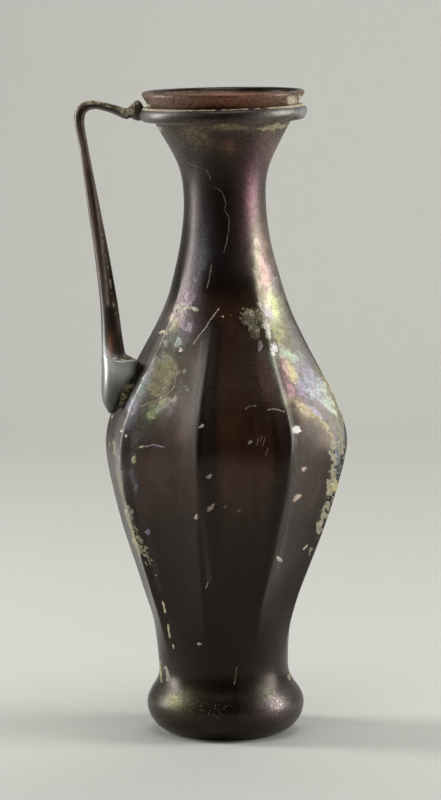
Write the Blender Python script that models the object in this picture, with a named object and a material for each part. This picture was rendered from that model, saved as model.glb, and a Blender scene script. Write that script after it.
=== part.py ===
"""Ribbed glass pitcher, blown and tooled, all one piece of fused glass.

A bulging pushed-in foot, a body drawn into eight vertical ribs, a waisted
neck, a flared mouth with a thick trail wound under the lip, and a drawn rod
handle from the trail down to a drop-shaped pad on the shoulder.

Metres, +Z up. The pitcher stands on Z = 0 with the handle toward -X.
The sizes below are in millimetres and are multiplied by MM where they are used.
"""

import math

import bmesh
import bpy
import numpy as np
from mathutils import Vector

MM = 0.001

# ---------------------------------------------------------------- sizes, mm
RIM_HEIGHT = 220.0        # foot to lip, on the axis

# Outer wall on the rib crests: height, radius, slope of the radius.
WAIST = (23.0, 22.2, 0.0)       # pinch above the foot
LOWER = (50.0, 27.3, 0.31)
FLANK = (72.0, 35.0, 0.30)
BELLY_LOW = (90.0, 40.0, 0.24)
BELLY = (100.0, 41.4, 0.0)      # widest
SHOULDER = (127.0, 31.4, -0.55)
THROAT = (155.0, 18.7, -0.30)
NECK = (184.0, 13.95, 0.0)      # narrowest
FUNNEL = (198.0, 16.8, 0.50)
UNDER_COLLAR = (211.1, 24.0, 0.57)
WALL_STATIONS = (WAIST, LOWER, FLANK, BELLY_LOW, BELLY, SHOULDER, THROAT, NECK,
                 FUNNEL, UNDER_COLLAR)

# Foot: a tubular bulge with a worn flat where it stands, and a kick beneath.
FOOT_RADIUS = 26.9
FOOT_CENTRE = (17.4, 10.1)      # radius and height of the bulge's centre
FOOT_TOP = (16.4, 24.25, -0.72) # where the bulge turns in
CONTACT_OUTER = 18.6
CONTACT_INNER = 15.4
KICK_HEIGHT = 9.0
FLOOR_HEIGHT = 12.0

# Collar: the trail wound round the mouth.
COLLAR_CENTRE = (26.0, 212.5)   # radius, height
COLLAR_TUBE = 2.45
# Lip: a fire-rounded edge above a shallow hollow.
LIP_CENTRE = (26.65, RIM_HEIGHT - 0.95)
LIP_TUBE = 0.95
SCOTIA = (25.55, 215.7)

# Walls.
WALL = 2.0
WALL_LOW = 2.5                  # thicker toward the foot

# Worked free-hand: the centre line strays toward +X or -X (height, offset).
SWAY = ((-1.0, 0.0), (14.0, 0.0), (26.0, -0.8), (50.0, -1.38), (77.0, -0.7),
        (94.0, -0.05), (106.0, 0.6), (138.0, 0.85), (163.0, 0.2),
        (190.0, -0.42), (212.0, -0.85), (222.0, -0.85))
# The lip is a little out of level and the collar a little more.
LIP_SLOPE = math.tan(math.radians(0.9))
COLLAR_SLOPE = math.tan(math.radians(1.6))

# Ribs.
RIB_AZIMUTHS = (-57.0, -12.6, 30.0, 72.0, 118.0, 164.0, 210.0, 256.0)
RIB_HOLLOW = 0.022              # how far the panels sink below flat, per radius
RIB_CREST = 0.012               # rounding of a crest, per radius
RIB_FADE_LOW = (24.0, 54.0)     # ribs grow between these heights ...
RIB_FADE_HIGH = (128.0, 162.0)  # ... and die out between these
RIB_SWELL = 0.034               # crests stand this far beyond the outline

# Handle: x, height, half width in its own plane, half depth, lean of the width
# in degrees (90 = upright arm, 180 = shaft), and how far toward -Y it sits.
HANDLE = (
    (-27.2, 212.0, 1.3, 1.3, 90.0, -0.8),
    (-28.7, 212.9, 3.1, 2.5, 90.0, -0.8),
    (-30.3, 213.2, 3.4, 2.8, 90.0, -0.8),
    (-32.2, 212.6, 2.0, 2.0, 90.0, -0.6),
    (-34.0, 212.1, 1.75, 1.8, 86.0, -0.4),
    (-39.2, 213.9, 1.4, 1.6, 86.0, 0.0),
    (-44.6, 215.0, 1.4, 1.6, 100.0, 0.0),
    (-48.3, 213.8, 1.75, 1.7, 138.0, 0.0),
    (-49.6, 209.8, 1.75, 1.7, 176.0, 0.0),
    (-48.1, 200.8, 1.5, 1.6, 190.0, 0.1),
    (-44.7, 180.1, 2.05, 2.0, 189.0, 0.3),
    (-42.3, 165.8, 2.4, 2.3, 188.0, 0.5),
    (-39.7, 147.4, 2.95, 2.8, 187.0, 0.8),
    (-38.5, 133.5, 3.7, 3.6, 184.0, 1.2),
    (-37.9, 129.9, 4.4, 4.6, 181.0, 1.3),
    (-35.9, 128.1, 6.4, 6.2, 178.0, 1.4),
    (-35.6, 124.5, 6.7, 7.0, 178.0, 1.5),
    (-36.2, 119.0, 6.2, 6.6, 178.0, 1.5),
    (-38.0, 114.2, 4.0, 4.6, 178.0, 1.5),
    (-39.0, 110.2, 1.0, 1.2, 178.0, 1.5),
)
PAD_BITE = 1.0                  # how far the pad sinks into the wall

AROUND = 64                     # outer facets, eight to a rib
AROUND_IN = 32                  # inner facets, four to a rib
HANDLE_AROUND = 12
HANDLE_STEPS = 36


# ------------------------------------------------------------------- curves
def smooth(low, high, value):
    """0 below low, 1 above high, eased between."""
    t = min(1.0, max(0.0, (value - low) / (high - low)))
    return t * t * (3.0 - 2.0 * t)


def hermite(p, q, z):
    """Radius at height z between two stations of (height, radius, slope)."""
    h = q[0] - p[0]
    t = (z - p[0]) / h
    return ((2 * t**3 - 3 * t**2 + 1) * p[1] + (t**3 - 2 * t**2 + t) * h * p[2]
            + (3 * t**2 - 2 * t**3) * q[1] + (t**3 - t**2) * h * q[2])


def foot_radius(z):
    """Outer radius of the foot's bulge and of the curve up to the waist."""
    r0, z0 = FOOT_CENTRE
    if z <= z0:
        k = (z0 - z) / z0
        return r0 + (FOOT_RADIUS - r0) * math.sqrt(max(0.0, 1.0 - k * k))
    if z <= FOOT_TOP[0]:
        return hermite((z0, FOOT_RADIUS, 0.0), FOOT_TOP, z)
    return hermite(FOOT_TOP, WAIST, z)


def wall_radius(z):
    """Outer radius at height z, before the ribs."""
    if z <= WAIST[0]:
        return foot_radius(z)
    for p, q in zip(WALL_STATIONS[:-1], WALL_STATIONS[1:]):
        if z <= q[0]:
            return hermite(p, q, z)
    return UNDER_COLLAR[1] + (z - UNDER_COLLAR[0]) * UNDER_COLLAR[2]


def sway(z):
    """Offset of the centre line at height z."""
    last = len(SWAY) - 1
    i = max(0, min(last - 1, sum(1 for s in SWAY if s[0] <= z) - 1))
    ends = []
    for k in (i, i + 1):
        a, b = SWAY[max(k - 1, 0)], SWAY[min(k + 1, last)]
        ends.append(SWAY[k] + ((b[1] - a[1]) / (b[0] - a[0]),))
    return hermite(ends[0], ends[1], z)


def rib_strength(z):
    return smooth(*RIB_FADE_LOW, z) * (1.0 - smooth(*RIB_FADE_HIGH, z))


def rib_azimuth(turn):
    """Azimuth in degrees (0 at -Y, growing toward +X) at a count of ribs."""
    n = len(RIB_AZIMUTHS)
    i = math.floor(turn)
    f = turn - i
    a = RIB_AZIMUTHS[i % n] + 360.0 * (i // n)
    b = RIB_AZIMUTHS[(i + 1) % n] + 360.0 * ((i + 1) // n)
    return a + (b - a) * f


def rib_gap(turn):
    i = math.floor(turn)
    return rib_azimuth(i + 1) - rib_azimuth(i)


def rib_factor(turn, z):
    """Share of the crest radius left at a point of the rib cycle."""
    strength = rib_strength(z)
    half = math.radians(rib_gap(turn) / 2.0)
    u = turn - math.floor(turn) - 0.5
    sink = 1.0 - math.cos(half) / math.cos(2.0 * u * half)
    sink += RIB_HOLLOW * math.cos(math.pi * u) ** 2
    sink = math.sqrt(sink * sink + RIB_CREST ** 2) - RIB_CREST
    return (1.0 + RIB_SWELL * strength) * (1.0 - strength * sink)


_TURNS = np.linspace(-8.0, 16.0, 24 * 40 + 1)
_AZIMUTHS = np.array([rib_azimuth(t) for t in _TURNS])


def turn_at(azimuth):
    return float(np.interp(azimuth % 360.0, _AZIMUTHS, _TURNS))


def place(radius, azimuth, z):
    """A point of the vessel, with the stray of its centre and its slopes."""
    a = math.radians(azimuth)
    slope = (COLLAR_SLOPE * smooth(196.0, 211.0, z)
             + (LIP_SLOPE - COLLAR_SLOPE) * smooth(214.0, 219.0, z))
    x = radius * math.sin(a)
    return Vector((x + sway(z), -radius * math.cos(a), z + slope * x)) * MM


# ----------------------------------------------------------------- profiles
def arc(centre, a, b, start, end, steps):
    """Points (radius, height) of an elliptical arc, angles in degrees."""
    out = []
    for i in range(steps + 1):
        t = math.radians(start + (end - start) * i / steps)
        out.append((centre[0] + a * math.cos(t), centre[1] + b * math.sin(t)))
    return out


def outer_profile():
    """From the flat under the foot up to the top of the lip."""
    r0, z0 = FOOT_CENTRE
    start = math.degrees(math.acos((CONTACT_OUTER + 0.6 - r0) / (FOOT_RADIUS - r0)))
    points = arc((r0, z0), FOOT_RADIUS - r0, z0, -start, 0.0, 5)
    points = [(CONTACT_OUTER, 0.0)] + points
    heights = [12.8, 15.4, 17.6, 19.8, WAIST[0], 28.0]
    z = 36.0
    while z < 206.0:
        heights.append(z)
        z += 5.5 if 88.0 < z < 106.0 else 8.8
    heights.append(208.5)
    points += [(wall_radius(z), z) for z in heights]
    points += arc(COLLAR_CENTRE, COLLAR_TUBE, COLLAR_TUBE, -145.0, 112.0, 8)
    points += [SCOTIA, (SCOTIA[0] + 0.35, 217.1)]
    points += arc(LIP_CENTRE, LIP_TUBE, LIP_TUBE, -30.0, 90.0, 3)
    return points


def inner_wall(z):
    return wall_radius(z) - (WALL + (WALL_LOW - WALL) * (1.0 - smooth(20.0, 90.0, z)))


def inner_profile():
    """From inside the lip down to the last ring of the floor."""
    points = [(LIP_CENTRE[0] - 0.95, LIP_CENTRE[1] - 0.1), (24.7, 217.0), (23.7, 214.6)]
    z = 211.0
    heights = []
    while z > 26.0:
        heights.append(z)
        z -= 9.0 if z > 132.0 or z < 84.0 else 7.5
    heights += [25.0, 21.5, 18.0]
    points += [(inner_wall(z), z) for z in heights]
    points += [(FOOT_RADIUS - 2.7, 11.4)]
    points += arc((17.3, 9.4), FOOT_RADIUS - 2.7 - 17.3, 6.6, -14.0, -90.0, 3)
    for i in range(1, 4):
        t = i / 4.0
        points.append((17.3 * (1.0 - t), 2.8 + (FLOOR_HEIGHT - 2.8) * smooth(0.0, 1.0, t * 0.9)))
    return points


def kick_profile():
    """From the flat under the foot in to the last ring of the kick."""
    points = [(CONTACT_INNER, 0.0)]
    for i in range(1, 4):
        t = i / 4.0
        points.append((CONTACT_INNER * (1.0 - t), KICK_HEIGHT * smooth(0.0, 1.0, t * 0.95)))
    return points


# --------------------------------------------------------------------- mesh
def ring(bm, radius, z, count, ribbed):
    verts = []
    per = count // len(RIB_AZIMUTHS)
    for i in range(count):
        turn = i // per + crowd((i % per) / per)
        factor = rib_factor(turn, z) if ribbed else 1.0
        if ribbed == "inside":
            wall = wall_radius(z) - radius
            r = wall_radius(z) * factor - wall
        else:
            r = radius * factor
        verts.append(bm.verts.new(place(r, rib_azimuth(turn), z)))
    return verts


def crowd(f):
    """Draws the facets together toward the crests."""
    return f - 0.06 * math.sin(4.0 * math.pi * f) / 2.0 - 0.02 * math.sin(2.0 * math.pi * f)


def band(bm, low, high):
    """Faces between two rings of the same count."""
    n = len(low)
    for i in range(n):
        j = (i + 1) % n
        bm.faces.new((low[i], low[j], high[j], high[i]))


def halve(bm, fine, coarse):
    """Faces between a ring and one of half its count."""
    n = len(coarse)
    for i in range(n):
        j = (i + 1) % n
        a, b, c = fine[2 * i], fine[2 * i + 1], fine[(2 * i + 2) % len(fine)]
        bm.faces.new((a, b, coarse[i]))
        bm.faces.new((b, coarse[j], coarse[i]))
        bm.faces.new((b, c, coarse[j]))


def cap(bm, last, radius, z, flip):
    middle = bm.verts.new(place(radius, 0.0, z))
    n = len(last)
    for i in range(n):
        j = (i + 1) % n
        bm.faces.new((last[j], last[i], middle) if flip else (last[i], last[j], middle))


def build_vessel():
    bm = bmesh.new()
    outer = [ring(bm, r, z, AROUND, "outside" if 24.0 < z < 165.0 else "")
             for r, z in outer_profile()]
    inner = [ring(bm, r, z, AROUND_IN, "inside" if 24.0 < z < 165.0 else "")
             for r, z in inner_profile()]
    kick = [ring(bm, r, z, AROUND_IN, "") for r, z in kick_profile()]
    for rings in (outer, inner, kick):
        for a, b in zip(rings[:-1], rings[1:]):
            band(bm, a, b)
    halve(bm, outer[-1], inner[0])
    halve(bm, outer[0], kick[0])
    cap(bm, inner[-1], 0.0, FLOOR_HEIGHT, False)
    cap(bm, kick[-1], 0.0, KICK_HEIGHT, True)
    bmesh.ops.recalc_face_normals(bm, faces=bm.faces)
    return bm


def spline(stations, steps):
    """A smooth run through the stations, closer where they are close."""
    pts = np.array(stations, dtype=float)
    n = len(pts)
    out = []
    for s in range(steps + 1):
        t = s / steps * (n - 1)
        i = min(int(t), n - 2)
        f = t - i
        p0, p1, p2, p3 = (pts[max(i - 1, 0)], pts[i], pts[i + 1], pts[min(i + 2, n - 1)])
        out.append(0.5 * (2 * p1 + (p2 - p0) * f + (2 * p0 - 5 * p1 + 4 * p2 - p3) * f * f
                          + (3 * p1 - p0 - 3 * p2 + p3) * f**3))
    return out


def rest_on_wall(x, y, z):
    """Keeps a point of the pad from sinking deeper than its bite."""
    middle = sway(z)
    azimuth = math.degrees(math.atan2(x - middle, -y))
    radius = math.hypot(x - middle, y)
    least = wall_radius(z) * rib_factor(turn_at(azimuth), z) - PAD_BITE
    if radius < least and z < 190.0:
        x, y = middle + (x - middle) * least / radius, y * least / radius
    return x, y


def build_handle():
    bm = bmesh.new()
    rings = []
    for x, z, a, b, lean, front in spline(HANDLE, HANDLE_STEPS):
        w = (math.cos(math.radians(lean)), math.sin(math.radians(lean)))
        verts = []
        for i in range(HANDLE_AROUND):
            t = 2.0 * math.pi * i / HANDLE_AROUND
            px = x + a * math.cos(t) * w[0]
            pz = z + a * math.cos(t) * w[1]
            py = -front + b * math.sin(t)
            px, py = rest_on_wall(px, py, pz)
            verts.append(bm.verts.new(Vector((px, py, pz)) * MM))
        rings.append(verts)
    for a, b in zip(rings[:-1], rings[1:]):
        band(bm, a, b)
    bm.faces.new(list(reversed(rings[0])))
    bm.faces.new(rings[-1])
    bmesh.ops.recalc_face_normals(bm, faces=bm.faces)
    return bm


def to_object(bm, name):
    mesh = bpy.data.meshes.new(name)
    bm.to_mesh(mesh)
    bm.free()
    obj = bpy.data.objects.new(name, mesh)
    bpy.context.scene.collection.objects.link(obj)
    return obj


def glass():
    mat = bpy.data.materials.new("weathered_purple_brown_glass")
    mat.use_nodes = True
    shader = mat.node_tree.nodes["Principled BSDF"]
    shader.inputs["Base Color"].default_value = (0.060, 0.036, 0.030, 1.0)
    shader.inputs["Roughness"].default_value = 0.22
    shader.inputs["Metallic"].default_value = 0.0
    shader.inputs["IOR"].default_value = 1.52
    return mat


def main():
    for obj in list(bpy.data.objects):
        bpy.data.objects.remove(obj, do_unlink=True)

    vessel = to_object(build_vessel(), "vessel")
    handle = to_object(build_handle(), "handle")

    # The handle's two ends are fused into the collar and the shoulder.
    fuse = vessel.modifiers.new("fuse_handle", "BOOLEAN")
    fuse.operation = "UNION"
    fuse.solver = "EXACT"
    fuse.object = handle
    graph = bpy.context.evaluated_depsgraph_get()
    mesh = bpy.data.meshes.new_from_object(vessel.evaluated_get(graph))
    bpy.data.objects.remove(handle, do_unlink=True)
    bpy.data.objects.remove(vessel, do_unlink=True)

    # Stands on Z = 0, centred over the rectangle it covers.
    xs = [v.co.x for v in mesh.vertices]
    ys = [v.co.y for v in mesh.vertices]
    shift = Vector((-(min(xs) + max(xs)) / 2, -(min(ys) + max(ys)) / 2, 0.0))
    for v in mesh.vertices:
        v.co += shift
    mesh.name = "pitcher"
    mesh.materials.clear()
    mesh.materials.append(glass())
    mesh.shade_smooth()
    mesh.set_sharp_from_angle(angle=math.radians(50.0))
    pitcher = bpy.data.objects.new("pitcher", mesh)
    bpy.context.scene.collection.objects.link(pitcher)


main()
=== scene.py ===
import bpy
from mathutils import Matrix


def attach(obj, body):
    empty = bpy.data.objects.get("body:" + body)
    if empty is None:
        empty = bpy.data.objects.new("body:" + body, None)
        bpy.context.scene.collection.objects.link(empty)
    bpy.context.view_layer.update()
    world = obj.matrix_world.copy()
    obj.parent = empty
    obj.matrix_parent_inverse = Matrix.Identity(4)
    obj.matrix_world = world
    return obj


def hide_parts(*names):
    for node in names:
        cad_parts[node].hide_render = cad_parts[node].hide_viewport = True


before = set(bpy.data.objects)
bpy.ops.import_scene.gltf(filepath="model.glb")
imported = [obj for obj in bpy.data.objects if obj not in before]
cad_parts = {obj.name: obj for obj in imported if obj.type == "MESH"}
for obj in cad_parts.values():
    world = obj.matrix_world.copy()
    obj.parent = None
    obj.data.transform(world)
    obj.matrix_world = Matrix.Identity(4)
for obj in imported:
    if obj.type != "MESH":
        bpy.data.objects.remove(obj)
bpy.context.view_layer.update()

# Ribbed glass pitcher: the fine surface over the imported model.
# Sizes in millimetres unless a name says otherwise; MM turns them into metres.

import math

import bpy
import numpy as np
from mathutils import Vector

MM = 0.001
RNG = np.random.default_rng(11)

# ------------------------------------------------------------ vessel sizes
RIM_HEIGHT = 220.0
WAIST = (23.0, 22.2, 0.0)
LOWER = (50.0, 27.3, 0.31)
FLANK = (72.0, 35.0, 0.30)
BELLY_LOW = (90.0, 40.0, 0.24)
BELLY = (100.0, 41.4, 0.0)
SHOULDER = (127.0, 31.4, -0.55)
THROAT = (155.0, 18.7, -0.30)
NECK = (184.0, 13.95, 0.0)
FUNNEL = (198.0, 16.8, 0.50)
UNDER_COLLAR = (211.1, 24.0, 0.57)
WALL_STATIONS = (WAIST, LOWER, FLANK, BELLY_LOW, BELLY, SHOULDER, THROAT, NECK,
                 FUNNEL, UNDER_COLLAR)
FOOT_RADIUS = 26.9
FOOT_CENTRE = (17.4, 10.1)
FOOT_TOP = (16.4, 24.25, -0.72)
CONTACT_OUTER = 18.6
CONTACT_INNER = 15.4
KICK_HEIGHT = 9.0
FLOOR_HEIGHT = 12.0
COLLAR_CENTRE = (26.0, 212.5)
COLLAR_TUBE = 2.45
LIP_CENTRE = (26.65, RIM_HEIGHT - 0.95)
LIP_TUBE = 0.95
SCOTIA = (25.55, 215.7)
WALL = 2.0
WALL_LOW = 2.5
SWAY = ((-1.0, 0.0), (14.0, 0.0), (26.0, -0.8), (50.0, -1.38), (77.0, -0.7),
        (94.0, -0.05), (106.0, 0.6), (138.0, 0.85), (163.0, 0.2),
        (190.0, -0.42), (212.0, -0.85), (222.0, -0.85))
LIP_SLOPE = math.tan(math.radians(0.9))
COLLAR_SLOPE = math.tan(math.radians(1.6))
RIB_AZIMUTHS = np.array((-57.0, -12.6, 30.0, 72.0, 118.0, 164.0, 210.0, 256.0))
RIB_HOLLOW = 0.028
RIB_CREST = 0.006
RIB_FADE_LOW = (24.0, 54.0)
RIB_FADE_HIGH = (128.0, 162.0)
RIB_SWELL = 0.034
HANDLE = (
    (-27.2, 212.0, 1.3, 1.3, 90.0, -0.8),
    (-28.7, 212.9, 3.1, 2.5, 90.0, -0.8),
    (-30.3, 213.2, 3.4, 2.8, 90.0, -0.8),
    (-32.2, 212.6, 2.0, 2.0, 90.0, -0.6),
    (-34.0, 212.1, 1.75, 1.8, 86.0, -0.4),
    (-39.2, 213.9, 1.4, 1.6, 86.0, 0.0),
    (-44.6, 215.0, 1.4, 1.6, 100.0, 0.0),
    (-48.3, 213.8, 1.75, 1.7, 138.0, 0.0),
    (-49.6, 209.8, 1.75, 1.7, 176.0, 0.0),
    (-48.1, 200.8, 1.5, 1.6, 190.0, 0.1),
    (-44.7, 180.1, 2.05, 2.0, 189.0, 0.3),
    (-42.3, 165.8, 2.4, 2.3, 188.0, 0.5),
    (-39.7, 147.4, 2.95, 2.8, 187.0, 0.8),
    (-38.5, 133.5, 3.7, 3.6, 184.0, 1.2),
    (-37.9, 129.9, 4.4, 4.6, 181.0, 1.3),
    (-35.9, 128.1, 6.4, 6.2, 178.0, 1.4),
    (-35.6, 124.5, 6.7, 7.0, 178.0, 1.5),
    (-36.2, 119.0, 6.2, 6.6, 178.0, 1.5),
    (-38.0, 114.2, 4.0, 4.6, 178.0, 1.5),
    (-39.0, 110.2, 1.0, 1.2, 178.0, 1.5),
)
PAD_BITE = 1.0
PAD_START = 13.3          # station where the rod swells into the pad

# The vessel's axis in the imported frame, from the ring that it stands on.
_foot = np.array([v.co[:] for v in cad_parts["pitcher"].data.vertices])
_foot = _foot[_foot[:, 2] < 1e-5]
AXIS = (_foot.min(0) + _foot.max(0))[:2] / 2.0

# ------------------------------------------------------------ the viewpoint
CAMERA_BACK = 1.331       # m in front of the axis
CAMERA_SIDE = -0.00171    # m beside it
CAMERA_HEIGHT = 0.2804    # m
CAMERA_PITCH = math.radians(7.108)
FOCAL_PX = 3924.67
FRAME_W, FRAME_H = 441, 800


# ------------------------------------------------------------------- curves
def smooth(low, high, v):
    t = np.clip((np.asarray(v, float) - low) / (high - low), 0.0, 1.0)
    return t * t * (3.0 - 2.0 * t)


def hump(v, centre, width):
    return np.exp(-((np.asarray(v, float) - centre) / width) ** 2)


def hermite(p, q, z):
    h = q[0] - p[0]
    t = (z - p[0]) / h
    return ((2 * t**3 - 3 * t**2 + 1) * p[1] + (t**3 - 2 * t**2 + t) * h * p[2]
            + (3 * t**2 - 2 * t**3) * q[1] + (t**3 - t**2) * h * q[2])


def wall_radius(z):
    z = np.asarray(z, float)
    r0, z0 = FOOT_CENTRE
    k = np.clip((z0 - z) / z0, 0.0, 1.0)
    out = r0 + (FOOT_RADIUS - r0) * np.sqrt(1.0 - k * k)
    out = np.where(z > z0, hermite((z0, FOOT_RADIUS, 0.0), FOOT_TOP, z), out)
    out = np.where(z > FOOT_TOP[0], hermite(FOOT_TOP, WAIST, z), out)
    for p, q in zip(WALL_STATIONS[:-1], WALL_STATIONS[1:]):
        out = np.where(z > p[0], hermite(p, q, z), out)
    last = WALL_STATIONS[-1]
    return np.where(z > last[0], last[1] + (z - last[0]) * last[2], out)


def sway(z):
    z = np.asarray(z, float)
    out = np.zeros_like(z)
    n = len(SWAY)
    ends = []
    for k in range(n):
        a, b = SWAY[max(k - 1, 0)], SWAY[min(k + 1, n - 1)]
        ends.append(SWAY[k] + ((b[1] - a[1]) / (b[0] - a[0]),))
    for p, q in zip(ends[:-1], ends[1:]):
        out = np.where(z >= p[0], hermite(p, q, z), out)
    return out


def rib_strength(z):
    return smooth(*RIB_FADE_LOW, z) * (1.0 - smooth(*RIB_FADE_HIGH, z))


def rib_azimuth(turn):
    turn = np.asarray(turn, float)
    i = np.floor(turn).astype(int)
    a = RIB_AZIMUTHS[i % 8] + 360.0 * (i // 8)
    b = RIB_AZIMUTHS[(i + 1) % 8] + 360.0 * ((i + 1) // 8)
    return a + (b - a) * (turn - i)


_TURNS = np.linspace(-8.0, 16.0, 24 * 40 + 1)
_AZIMUTHS = rib_azimuth(_TURNS)


def turn_at(azimuth):
    return np.interp(np.asarray(azimuth) % 360.0, _AZIMUTHS, _TURNS)


def rib_factor(turn, z):
    strength = rib_strength(z)
    i = np.floor(turn)
    half = np.radians((rib_azimuth(i + 1) - rib_azimuth(i)) / 2.0)
    u = turn - i - 0.5
    sink = 1.0 - np.cos(half) / np.cos(2.0 * u * half)
    sink = sink + RIB_HOLLOW * (1.0 - 4.0 * u * u)
    sink = np.sqrt(sink * sink + RIB_CREST ** 2) - RIB_CREST
    return (1.0 + RIB_SWELL * strength) * (1.0 - strength * sink)


def place(r, azimuth, z):
    """Points of the vessel in millimetres about its own axis."""
    a = np.radians(azimuth)
    slope = (COLLAR_SLOPE * smooth(196.0, 211.0, z)
             + (LIP_SLOPE - COLLAR_SLOPE) * smooth(214.0, 219.0, z))
    x = r * np.sin(a)
    return np.stack(np.broadcast_arrays(x + sway(z), -r * np.cos(a), z + slope * x), axis=-1)


# -------------------------------------------------------------------- noise
_HASH = RNG.permutation(256)
_GRAD = RNG.normal(size=(256, 3))
_GRAD /= np.linalg.norm(_GRAD, axis=1)[:, None]


def noise3(p, scale, seed=0.0):
    """Smooth noise, about -1 to 1, at points p; scale is in the unit of p."""
    q = np.asarray(p, float) / scale + np.array([17.31, -9.7, 5.13]) * seed + 100.0
    i = np.floor(q).astype(int)
    f = q - i
    u = f * f * f * (f * (f * 6.0 - 15.0) + 10.0)
    out = np.zeros(q.shape[:-1])
    for dx in (0, 1):
        for dy in (0, 1):
            for dz in (0, 1):
                h = _HASH[(i[..., 0] + dx) & 255]
                h = _HASH[(h + i[..., 1] + dy) & 255]
                h = _HASH[(h + i[..., 2] + dz) & 255]
                g = _GRAD[h]
                dot = (g[..., 0] * (f[..., 0] - dx) + g[..., 1] * (f[..., 1] - dy)
                       + g[..., 2] * (f[..., 2] - dz))
                w = ((u[..., 0] if dx else 1 - u[..., 0]) * (u[..., 1] if dy else 1 - u[..., 1])
                     * (u[..., 2] if dz else 1 - u[..., 2]))
                out += w * dot
    return out * 1.7


def fbm(p, scale, octaves=3, seed=0.0):
    out, amp, total = 0.0, 1.0, 0.0
    for k in range(octaves):
        out = out + amp * noise3(p, scale / 2.0**k, seed + k)
        total += amp
        amp *= 0.55
    return out / total


# ----------------------------------------------------------------- profiles
def arc(centre, a, b, start, end, steps):
    t = np.radians(np.linspace(start, end, steps + 1))
    return list(zip(centre[0] + a * np.cos(t), centre[1] + b * np.sin(t)))


def outer_profile():
    r0, z0 = FOOT_CENTRE
    start = math.degrees(math.acos((CONTACT_OUTER + 0.3 - r0) / (FOOT_RADIUS - r0)))
    points = [(CONTACT_OUTER - 1.6, 0.0), (CONTACT_OUTER, 0.0)]
    points += arc((r0, z0), FOOT_RADIUS - r0, z0, -start, 0.0, 20)
    heights = np.concatenate([np.linspace(10.7, 24.0, 18), np.arange(24.9, 209.6, 1.03)])
    points += [(float(wall_radius(z)), float(z)) for z in heights]
    points += arc(COLLAR_CENTRE, COLLAR_TUBE, COLLAR_TUBE, -145.0, 112.0, 34)
    # a shallow hollow between the collar and the lip
    a, b = points[-1], (LIP_CENTRE[0] + LIP_TUBE * math.cos(math.radians(-40.0)),
                        LIP_CENTRE[1] + LIP_TUBE * math.sin(math.radians(-40.0)))
    for i in range(1, 7):
        t = i / 7.0
        r = (1 - t) ** 2 * a[0] + 2 * t * (1 - t) * (SCOTIA[0] - 0.1) + t * t * b[0]
        z = (1 - t) ** 2 * a[1] + 2 * t * (1 - t) * SCOTIA[1] + t * t * b[1]
        points.append((r, z))
    points += arc(LIP_CENTRE, LIP_TUBE, LIP_TUBE, -40.0, 100.0, 10)
    return np.array(points)


def inner_wall(z):
    return wall_radius(z) - (WALL + (WALL_LOW - WALL) * (1.0 - smooth(20.0, 90.0, z)))


def inner_profile():
    points = [(LIP_CENTRE[0] - 0.85, LIP_CENTRE[1] + 0.35), (LIP_CENTRE[0] - 1.0, LIP_CENTRE[1] - 0.4),
              (25.1, 217.9), (24.5, 216.5), (23.8, 214.9), (23.0, 213.0)]
    heights = np.arange(211.0, 18.0, -2.2)
    points += [(float(inner_wall(z)), float(z)) for z in heights]
    r1 = FOOT_RADIUS - 2.7
    points += [(r1 - 0.9, 16.0), (r1 - 0.25, 13.6), (r1, 11.4)]
    points += arc((17.3, 9.4), r1 - 17.3, 6.6, -8.0, -90.0, 10)
    for i in range(1, 12):
        t = i / 12.0
        points.append((17.3 * (1.0 - t), 2.8 + (FLOOR_HEIGHT - 2.8) * float(smooth(0.0, 1.0, t * 0.9))))
    return np.array(points)


def kick_profile():
    points = [(CONTACT_INNER, 0.0)]
    for i in range(1, 12):
        t = i / 12.0
        points.append((CONTACT_INNER * (1.0 - t), KICK_HEIGHT * float(smooth(0.0, 1.0, t * 0.95))))
    return np.array(points)


OUTER = outer_profile()
RUN = np.concatenate([[0.0], np.cumsum(np.hypot(*np.diff(OUTER, axis=0).T))])   # length along it
COLLAR_LOW = float(RUN[np.argmin(np.abs(OUTER[:, 1] - 209.5) + (OUTER[:, 0] > 23.2) * 9)])


def outer_surface(run, azimuth):
    """The worked outer face: ribs, drifting crests, soft waves, collar seam."""
    run, azimuth = np.broadcast_arrays(np.asarray(run, float), np.asarray(azimuth, float))
    r = np.interp(run, RUN, OUTER[:, 0])
    z = np.interp(run, RUN, OUTER[:, 1])
    a = np.radians(azimuth)
    at = np.stack([r * np.sin(a), -r * np.cos(a), z], -1)
    drift = 1.1 * noise3(at * (0.35, 0.35, 1.0), 24.0, 2)
    ribbed = (z > 24.0) & (z < 165.0) & (run < COLLAR_LOW)
    r = np.where(ribbed, r * rib_factor(turn_at(azimuth + drift * rib_strength(z)), z), r)
    calm = smooth(3.0, 12.0, z) * (1.0 - smooth(COLLAR_LOW - 6.0, COLLAR_LOW, run))
    r = r + calm * (0.16 * noise3(at, 19.0, 1) + 0.05 * noise3(at * (1.0, 1.0, 0.4), 5.0, 3))
    # the collar trail was wound on by hand: its thickness wanders, and its
    # tail is pressed over the start, which leaves a slanting seam on the right
    tube = np.degrees(np.arctan2(z - COLLAR_CENTRE[1], r - COLLAR_CENTRE[0]))
    on = (run > COLLAR_LOW) & (run < COLLAR_LOW + 12.5)
    wander = 0.10 * noise3(at * (1.0, 1.0, 0.2), 9.0, 7)
    seam_at = -58.0 + 34.0 * smooth(22.0, 80.0, azimuth)
    seam = hump(tube, seam_at, 9.0) * smooth(20.0, 36.0, azimuth) * (1.0 - smooth(84.0, 92.0, azimuth))
    tail = hump(tube, seam_at - 34.0, 22.0) * smooth(22.0, 42.0, azimuth) * (1.0 - smooth(78.0, 92.0, azimuth))
    r = r + np.where(on, wander * smooth(-140, -100, tube) - 0.42 * seam + 0.20 * tail, 0.0)
    z = z + np.where(on, -0.35 * tail, 0.0)
    return place(r, azimuth, z)


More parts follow.
